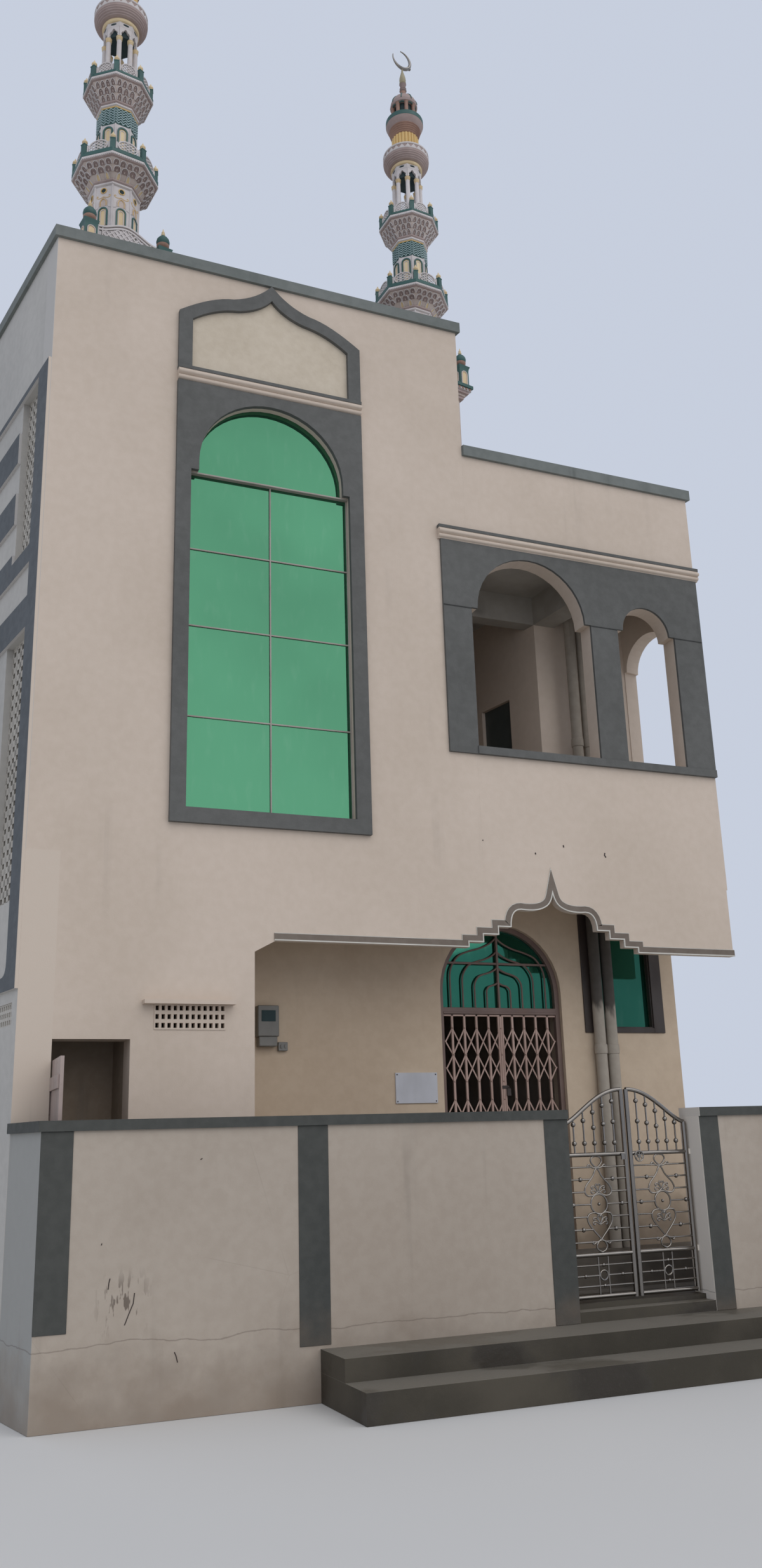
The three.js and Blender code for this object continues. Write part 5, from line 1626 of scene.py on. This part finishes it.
    def kiosk(self, kit: Kit) -> None:
        """Makes the columns and arches under the dome, and the dome's ribs."""
        for i in range(8):
            along, between, after = (around(EIGHTH * (2 * i + k)) for k in (1, 2, 3))
            column = [(0.032, 14.338), (0.026, 14.36), (0.024, 14.53), (0.032, 14.556)]
            kit.once(Finish.RUST).lathe(column, 12, along * 0.142)
            baluster = [(0.012, 14.338), (0.02, 14.36), (0.01, 14.385), (0.016, 14.4)]
            kit.once(Finish.PALE).lathe(baluster, 8, between * 0.15)
            arch = [along * 0.148, along.lerp(between, 0.25) * 0.152, between * 0.154]
            arch.append(between.lerp(after, 0.75) * 0.152)
            levels = (14.52, 14.545, 14.556, 14.545)
            kit.once(Finish.GREEN).tube([p + up(z) for p, z in zip(arch, levels)], 0.008, 6)
            rib = [(0.176, 14.602), (0.171, 14.63), (0.159, 14.66), (0.133, 14.7), (0.103, 14.73)]
            kit.once(Finish.GREEN).tube([between * r + up(z) for r, z in (*rib, (0.052, 14.764))], 0.007, 6)

    def build(self) -> None:
        """Makes both minarets' pieces."""
        shaft, lantern, crown = self.shaft(), self.lantern(), self.crown()
        for name, x, y, roof, turn, twist in self.places:
            place = Matrix.Translation(at(x, y, 0)) @ turned(SKEW)
            for part, kit, degrees in (
                ("tower", self.tower(roof), 0.0),
                ("shaft", shaft, turn),
                ("lantern", lantern, twist),
                ("crown", crown, 0.0),
            ):
                title = f"{name}_minaret_{part}"
                kit.put(place @ turned(degrees), title, title)


@dataclass
class GateLeaf:
    """One leaf of the yard gate, of stainless tube, rods, balls and scrolls."""

    name: str
    hinge: float
    meet: float
    plane: float = -464
    stile: float = 19.0
    rail: float = 16.0
    rod: float = 6.5
    bottom: float = 477
    lower: float = 770
    upper: float = 1495
    shoulder: float = 1725
    crown: float = 1983
    knob: float = 4719
    metal: Solid = field(default_factory=Solid)

    @property
    def way(self) -> int:
        """1 where the leaf runs to the right from its hinge, else -1."""
        return 1 if self.meet > self.hinge else -1

    @property
    def width(self) -> float:
        """From the hinge's stile to the meeting stile."""
        return abs(self.meet - self.hinge) - self.stile

    def at(self, along: float, z: float, out: float = 0.0) -> Vector:
        """A point at so far from the hinge, at a level, and so far towards the street."""
        return at(self.hinge + self.way * along, self.plane - out, z)

    def top(self, share: float) -> float:
        """The level of the curved top at a share of the width."""
        rise = (1 - math.cos(math.pi * share**0.75)) / 2
        return self.shoulder + (self.crown - self.shoulder) * rise

    def bar(self, line: Line, radius: float, sides: int = 10, closed: bool = False) -> None:
        """Adds a round bar through points that are given by how far along and how high."""
        self.metal.tube([self.at(u, z) for u, z in line], radius / 1000, sides, closed)

    def ball(self, along: float, z: float, radius: float = 19.0) -> None:
        """Adds a ball."""
        self.metal.ball(self.at(along, z), radius / 1000, 8, 14)

    def frame(self) -> None:
        """Makes the stiles, rails and curved top."""
        for along, high in ((0.0, self.shoulder), (self.width, self.crown)):
            self.bar([(along, self.bottom - self.stile), (along, high)], self.stile, 16)
        for level in (self.bottom, self.lower, self.upper):
            self.bar([(0, level), (self.width, level)], self.rail, 16)
        self.bar([(self.width * i / 24, self.top(i / 24)) for i in range(25)], self.rail, 16)

    def pickets(self) -> None:
        """Makes the upright rods under the curved top, with their balls."""
        for i in range(1, 6):
            along = self.width * i / 6
            high = self.top(i / 6)
            self.bar([(along, self.upper), (along, high)], self.rod)
            first, last = self.upper + 85, high - (45 if i == 1 else 80)
            self.ball(along, first)
            self.ball(along, last)
            if i > 2:
                self.ball(along, (first + last) / 2)

    def paired(self, line: Line, radius: float = 6.5, steps: int = 5) -> None:
        """Adds a smooth bar and its mirror image about the leaf's middle."""
        middle = self.width / 2
        for way in (1, -1):
            self.bar([(middle + way * u, z) for u, z in smooth(line, steps)], radius, 8)

    def scrolls(self) -> None:
        """Makes the loops, hearts, scrolls and circle down the leaf's middle."""
        self.paired([(4, 1398), (34, 1422), (49, 1450), (34, 1475), (0, 1483)])
        self.paired([(0, 1402), (22, 1396), (46, 1404), (66, 1420), (80, 1412), (76, 1400)])
        heart = [(0, 1398), (20, 1372), (34, 1344), (60, 1312), (98, 1275), (119, 1232), (104, 1200)]
        self.paired([*heart, (68, 1192), (28, 1204), (0, 1222)])
        leafy = [(0, -30), (14, -26), (34, -14), (56, -10), (64, -22), (54, -32), (42, -26)]
        petal = [(0, -30), (12, -8), (30, 14), (52, 20), (60, 8), (48, 0), (40, 8)]
        stem = [(0, -34), (10, -4), (22, 24), (12, 34), (4, 22)]
        for level in (1244, 1016):
            for line in (leafy, petal, stem):
                self.paired([(u, level + z) for u, z in line], 5.0, 3)
        self.bar(arc((self.width / 2, 1132), 72, 0, 350, 35), 7.0, 8, closed=True)
        self.ball(self.width / 2, 1132, 12)
        heart = [(0, 1046), (26, 1066), (62, 1070), (96, 1060), (110, 1030), (98, 990), (62, 944), (30, 910)]
        self.paired([*heart, (8, 886), (0, 874)])
        self.paired([(0, 872), (22, 866), (44, 858), (68, 846), (80, 856), (74, 868)])
        self.paired([(6, 878), (26, 862), (45, 832), (32, 802), (0, 788)])

    def rods(self) -> None:
        """Makes the level rods, which stop at the scrolls, with their balls."""
        middle = self.width / 2
        rows = ((1404, 45), (1314, 64), (1223, 116), (1132, 73), (1042, 106), (951, 68), (861, 34))
        for level, gap in rows:
            self.bar([(0, level), (middle - gap, level)], self.rod)
            self.bar([(middle + gap, level), (self.width, level)], self.rod)
        for level, shares in ((1314, (0.22, 0.75)), (951, (0.22, 0.75)), (1132, (0.08, 0.88))):
            for share in shares:
                self.ball(self.width * share, level, 17)

    def panel(self) -> None:
        """Makes the lower panel: level rods, two upright ones, balls and a ring."""
        step = (self.lower - self.bottom) / 4
        middle = self.width / 2
        for i in (1, 2, 3):
            level = self.bottom + step * i
            ends = [(0, self.width)] if i != 2 else [(0, middle - 35), (middle + 35, self.width)]
            for start, end in ends:
                self.bar([(start, level), (end, level)], self.rod)
        for share in (0.42, 0.58):
            self.bar([(self.width * share, self.bottom), (self.width * share, self.lower)], self.rod)
        for share, i in ((0.5, 1), (0.5, 3), (0.2, 2), (0.8, 2)):
            self.ball(self.width * share, self.bottom + step * i, 14)
        self.bar(arc((middle, self.bottom + step * 2), 34, 0, 345, 23), self.rod, 8, closed=True)

    def latch(self) -> None:
        """Makes the flower knob of the right leaf, or the latch box of the left one."""
        if self.way > 0:
            self.metal.box(self.at(self.width - 52, 1452, 26), self.at(self.width - 22, 1500, 14))
            self.bar([(self.width - 24, 1475), (self.width + 4, 1475)], 6)
            return
        centre = self.width - (self.knob - self.meet - self.stile)
        level, out = 1473, 22
        for middle in arc((centre, level), 24, 0, 300, 5):
            petal = [self.at(u, z, out) for u, z in arc(middle, 13, 0, 324, 9)]
            self.metal.tube(petal, 0.0035, 6, closed=True)
        rim = [self.at(u, z, out) for u, z in arc((centre, level), 40, 0, 350, 35)]
        self.metal.tube(rim, 0.004, 8, closed=True)
        self.metal.tube([self.at(centre, level, 10), self.at(centre, level, 30)], 0.012, 12)

    def build(self) -> None:
        """Makes the leaf."""
        self.frame()
        self.pickets()
        self.scrolls()
        self.rods()
        self.panel()
        self.latch()
        self.metal.piece(self.name + "_tubes", Finish.STAINLESS, self.name, replaces=[self.name])


@dataclass
class Entrance:
    """The arched entrance: its frame with pointed hoops, and the folding gate closed in it."""

    middle: float = 4245
    radius: float = 604.7
    springing: float = 2885
    floor: float = 700
    front: float = 790
    deep: float = 45.0
    bar: float = 45.0
    lintel: Point = (2700, 2750)
    crossbar: float = 3133
    hoops: tuple[Point, ...] = ((478, 3377), (357, 3253), (238, 3111), (119, 2978))
    ogee: tuple[Point, ...] = (
        (1.0, 0.76), (0.98, 0.62), (0.91, 0.48), (0.79, 0.35),
        (0.57, 0.262), (0.34, 0.2), (0.14, 0.11), (0.0, 0.0),
    )
    pitch: float = 119
    bays: int = 8
    half_strip: float = 6.0
    tiers: tuple[Point, ...] = ((2116, 2572), (1508, 1964), (900, 1356))

    def hoop(self, half: float, cusp: float) -> list[Point]:
        """A pointed hoop's right half, from its foot up to its point."""
        line = [(half * u, cusp - half * v) for u, v in self.ogee]
        return [(half, self.lintel[1] - 4), *smooth(line, 3)]

    def frame(self) -> None:
        """Makes the frame's band, lintel, bars and hoops."""
        front, back = self.front, self.front + self.deep
        middle, (foot, head) = self.middle, self.lintel
        lines = []
        for radius in (self.radius, self.radius - self.bar):
            line = [(middle - radius, self.floor), *arc((middle, self.springing), radius, 180, 0, 28)]
            lines.append([at(x, front, z) for x, z in (*line, (middle + radius, self.floor))])
        border = Solid().ribbon(*lines, Vector((0, self.deep / 1000, 0)))
        inner, centre = self.radius - self.bar + 4, self.radius - self.bar / 2
        reach = math.sqrt(centre**2 - (self.crossbar + 9 - self.springing) ** 2)
        for half, near, far, low, high in (
            (inner, front + 2, back - 2, foot, head),
            (inner, front - 4, front + 4, foot - 8, foot + 12),
            (reach, front + 12, back - 12, self.crossbar, self.crossbar + 20),
            (10, front + 8, back - 8, head - 3, self.springing + centre),
        ):
            border.box(at(middle - half, near, low), at(middle + half, far, high))
        border.piece("entrance_frame_bars", Finish.BROWN, replaces=["entrance_frame"], soften=0.003)
        hoops = Solid()
        for half, cusp in self.hoops:
            for way in (1, -1):
                line = [at(middle + way * x, front + 20, z) for x, z in self.hoop(half, cusp)]
                hoops.tube(line, 0.0085, 10)
        hoops.piece("entrance_frame_hoops", Finish.BROWN)

    def strip(self, start: Point, end: Point, out: float) -> Solid:
        """A flat strip of the lattice between two places, so far in front of the pickets' middle."""
        a, b = Vector(start), Vector(end)
        along = (b - a).normalized()
        across = Vector((-along.y, along.x)) * self.half_strip
        a, b = a - along * 8, b + along * 8
        y = self.plane - out
        corners = [at(p.x, y, p.y) for p in (a - across, b - across, b + across, a + across)]
        return Solid().prism(corners, Vector((0, -0.004, 0)))

    @property
    def plane(self) -> float:
        """How far back the pickets' middle lies."""
        return self.front + self.deep / 2

    @property
    def first(self) -> float:
        """Where the first picket stands."""
        return self.middle - self.pitch * self.bays / 2

    @property
    def step(self) -> dict[str, Sequence[float] | float]:
        """What the repeat tree needs to go from picket to picket."""
        return {"Shift": (self.pitch / 1000, 0.0, 0.0), "Turn": 0.0}

    def pickets(self, trees: Trees) -> None:
        """Makes the folding gate's pickets, its meeting bars and the channels it runs in."""
        floor, top, y = self.floor, self.lintel[0] - 10.5, self.plane
        picket = Solid().box(at(self.first - 10, y - 13, floor + 4), at(self.first + 10, y + 7, top))
        grown = trees.repeat.grow(picket, Finish.PINK, Count=self.bays + 1, **self.step)
        for x in (self.middle - 20, self.middle + 20):
            grown.box(at(x - 8, y - 12, floor + 4), at(x + 8, y + 10, top))
        inner = self.radius - self.bar - 0.6
        for low, high in ((floor, floor + 22), (top - 16, top)):
            grown.box(at(self.middle - inner, y - 13, low), at(self.middle + inner, y + 13, high))
        grown.piece("folding_gate_pickets", Finish.PINK, replaces=["folding_gate"], soften=0.002)

    def lattice(self, trees: Trees) -> None:
        """Makes the three tiers of crossing strips, with rivets on the pickets."""
        first, over, under = self.first, 5, -2
        strips, rivets = Solid(), []
        for low, high in self.tiers:
            middle = (low + high) / 2
            for foot, head in ((low, middle), (middle, high)):
                for z0, z1, out in ((foot, head, over), (head, foot, under)):
                    strips.join(self.strip((first, z0), (first + self.pitch, z1), out))
            rivets += [at(first, self.plane - 14, z) for z in (low, middle, high)]
        lattice = trees.repeat.grow(strips, Finish.PINK, Count=self.bays, **self.step)
        for x, way in ((first, -1), (first + self.bays * self.pitch, 1)):
            for low, high in self.tiers:
                quarter = (high - low) / 4
                for k, rise in ((0, 1), (2, -1), (2, 1), (4, -1)):
                    end = (x + way * (self.pitch / 2 + 8), low + (k + rise) * quarter)
                    lattice.join(self.strip((x, low + k * quarter), end, over if rise * way > 0 else under))
        heads = trees.beads.grow(Solid().add(rivets, []), Finish.PINK, Radius=0.007, Detail=2)
        lattice.join(trees.repeat.grow(heads, Finish.PINK, Count=self.bays + 1, **self.step))
        lattice.piece("folding_gate_lattice", Finish.PINK)

    def lock(self) -> None:
        """Makes the padlock and its hasp."""
        middle, y = self.middle, self.plane
        lock = Solid().box(at(middle + 22, y - 26, 1990), at(middle + 60, y - 10, 2052))
        lock.tube([at(x, y - 18, z) for x, z in arc((middle + 41, 2052), 12, 0, 180, 10)], 0.004, 8)
        lock.box(at(middle - 18, y - 16, 2050), at(middle + 46, y - 12, 2078))
        lock.piece("folding_gate_lock", Finish.DARK, soften=0.003)

    def build(self, trees: Trees) -> None:
        """Makes the entrance's pieces."""
        self.frame()
        self.pickets(trees)
        self.lattice(trees)
        self.lock()


@dataclass
class VerandaFittings:
    """Small things under the hanging fascia: pipes, window surround, meter and switch board."""

    back: float = 750
    pipes: tuple[tuple[str, float], ...] = (("left", 5196), ("right", 5322))
    pipe_line: float = 690
    joints: tuple[float, ...] = (2390, 5300)
    window: tuple[float, float, float, float] = (5200, 5823, 2580, 3620)
    surround: tuple[float, float, float, float] = (5080, 5943, 2533, 3740)

    def drains(self) -> None:
        """Makes both drain pipes with their sockets."""
        for side, x in self.pipes:
            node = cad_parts[f"pipe_{side}"]
            levels = [(node.matrix_world @ Vector(c)).z for c in node.bound_box]
            low, high = min(levels), max(levels)
            profile = [(0.052, low)]
            socket = ((0.052, -0.05), (0.058, -0.046), (0.06, -0.01), (0.058, 0.03), (0.052, 0.034))
            for joint in self.joints:
                profile += [(radius, joint / 1000 + z) for radius, z in socket]
            pipe = Solid().lathe([*profile, (0.052, high)], 32, at(x, self.pipe_line, 0))
            pipe.piece(f"pipe_{side}_tube", Finish.PIPE, replaces=[f"pipe_{side}"])

    def surrounds(self) -> None:
        """Makes the dark surround of the window and its inner frame."""
        x0, x1, z0, z1 = self.window
        clear = (x0 + 10, x1 - 10, z0 + 10, z1 - 10)
        border = Solid()
        for outer, inner, lap, near, far in (
            (self.surround, self.window, 1, -15, 1),
            (self.window, clear, 10, 0, 48),
        ):
            left, right, bottom, top = outer
            x0, x1, z0, z1 = inner
            for low, high, foot, head in (
                (left, x0, bottom, top),
                (x1, right, bottom, top),
                (x0 - lap, x1 + lap, bottom, z0),
                (x0 - lap, x1 + lap, z1, top),
            ):
                border.box(at(low, self.back + near, foot), at(high, self.back + far, head))
        border.piece("veranda_window_surround", Finish.DARK, soften=0.004)

    def meter(self) -> None:
        """Makes the meter's case with a window and a cover, and a small switch board beside it."""
        wall, face = self.back - 1, self.back - 90
        case = Solid().box(at(1960, face, 2480), at(2140, wall, 2730))
        case.box(at(1972, face + 8, 2402), at(2128, wall, 2481))
        case.piece("meter_case", Finish.METER, replaces=["meter_box"], soften=0.008)
        pane = Solid().box(at(1990, face - 3, 2600), at(2110, face + 2, 2690))
        pane.piece("meter_window", Finish.HOLLOW, soften=0.003)
        board = Solid().box(at(2150, wall - 34, 2370), at(2230, wall, 2440))
        for x in (2165, 2200):
            board.box(at(x, wall - 40, 2390), at(x + 15, wall - 33, 2420))
        board.piece("switch_board", Finish.METER, soften=0.004)

    def build(self) -> None:
        """Makes the fittings."""
        self.drains()
        self.surrounds()
        self.meter()


@dataclass
class SmallThings:
    """The small door's ledges and bolt, the blank board's screws, marks in the walls and impost lines of
    painted shadow.
    """

    hinge: Point = (262, 30.0)
    swing: float = -92.0
    leaf: float = 0.52
    ledges: tuple[float, ...] = (0.64, 1.3, 2.04)
    board_sides: Point = (3202, 3558)
    board_levels: Point = (1955, 2175)
    yard_front: float = -625
    scratches: tuple[tuple[Point, ...], ...] = (
        ((1012, 392), (1022, 372), (1034, 330)),
        ((590, 856), (584, 830), (580, 792)),
        ((748, 760), (742, 700), (716, 640), (690, 575)),
        ((1180, 1566), (1168, 1560)),
        ((532, 1068), (528, 1058)),
    )
    dents: tuple[tuple[Point, ...], ...] = (
        ((3743, 4070), (3744, 4064)),
        ((4246, 3990), (4248, 3974)),
        ((4531, 4074), (4532, 4054)),
        ((4950, 4030), (4944, 4010), (4957, 3990)),
    )
    impost: float = 6197
    piers: tuple[Point, ...] = ((3466, 3741), (4986, 5274), (5922, 6238))

    def door(self) -> None:
        """Makes the small door's ledges and its bolt."""
        place = Matrix.Translation(at(*self.hinge, 0)) @ turned(self.swing)
        ledges = Solid()
        for level in self.ledges:
            ledges.box((0.03, -0.014, level), (self.leaf - 0.02, 0.001, level + 0.09))
        ledges.moved(place).piece("small_door_ledges", Finish.DOOR, "door_leaf", soften=0.002)
        bolt = Solid().tube([(0.38, -0.022, 1.345), (0.505, -0.022, 1.345)], 0.006, 10)
        bolt.box((0.4, -0.026, 1.33), (0.43, -0.013, 1.36))
        bolt.moved(place).piece("small_door_bolt", Finish.DARK, "door_leaf")

    def screws(self) -> None:
        """Makes the board's four screws."""
        heads = Solid()
        for x in self.board_sides:
            for z in self.board_levels:
                heads.ball(at(x, 738, z), 0.006, 4, 10)
        heads.piece("board_screws", Finish.DARK)

    def marks(self) -> None:
        """Makes the yard wall's scratches and the front wall's dents."""
        for name, lines, y, radius, sides in (
            ("yard_scratches", self.scratches, self.yard_front, 0.0035, 6),
            ("front_wall_dents", self.dents, 2, 0.007, 8),
        ):
            marks = Solid()
            for line in lines:
                marks.tube([at(x, y, z) for x, z in line], radius, sides)
            marks.piece(name, Finish.DARK)

    def imposts(self) -> None:
        """Makes the dark line of painted shadow that crosses each pier of the arcade where its arches start.
        """
        lines = Solid()
        for left, right in self.piers:
            lines.box(at(left, -29, self.impost - 5), at(right, -24, self.impost + 5))
        lines.piece("arcade_impost_shadow_lines", Finish.IMPOST_SHADOW, soften=0.002)

    def build(self) -> None:
        """Makes them all."""
        self.door()
        self.screws()
        self.marks()
        self.imposts()


def main() -> None:
    """Builds the scene: the studio, the finishes of the solids and each assembly's pieces."""
    logging.basicConfig(level=logging.INFO, format="%(name)s: %(message)s")
    Studio().build()
    dress_solids()
    trees = Trees()
    TallWindow().build()
    Panel().build()
    Moulding("window_cornice", 1045, 2717, 7921, 8060, 75.0).build()
    Moulding("arcade_cornice", 3443, 6262, 6843, 6975, 65.0).build()
    Fascia().build()
    YardStrips().build()
    Screens().build(trees)
    Minaret(trees).build()
    GateLeaf("gate_leaf_left", 4062, 4625).build()
    GateLeaf("gate_leaf_right", 5178, 4635).build()
    Entrance().build(trees)
    VerandaFittings().build()
    SmallThings().build()


if __name__ == "__main__":
    main()
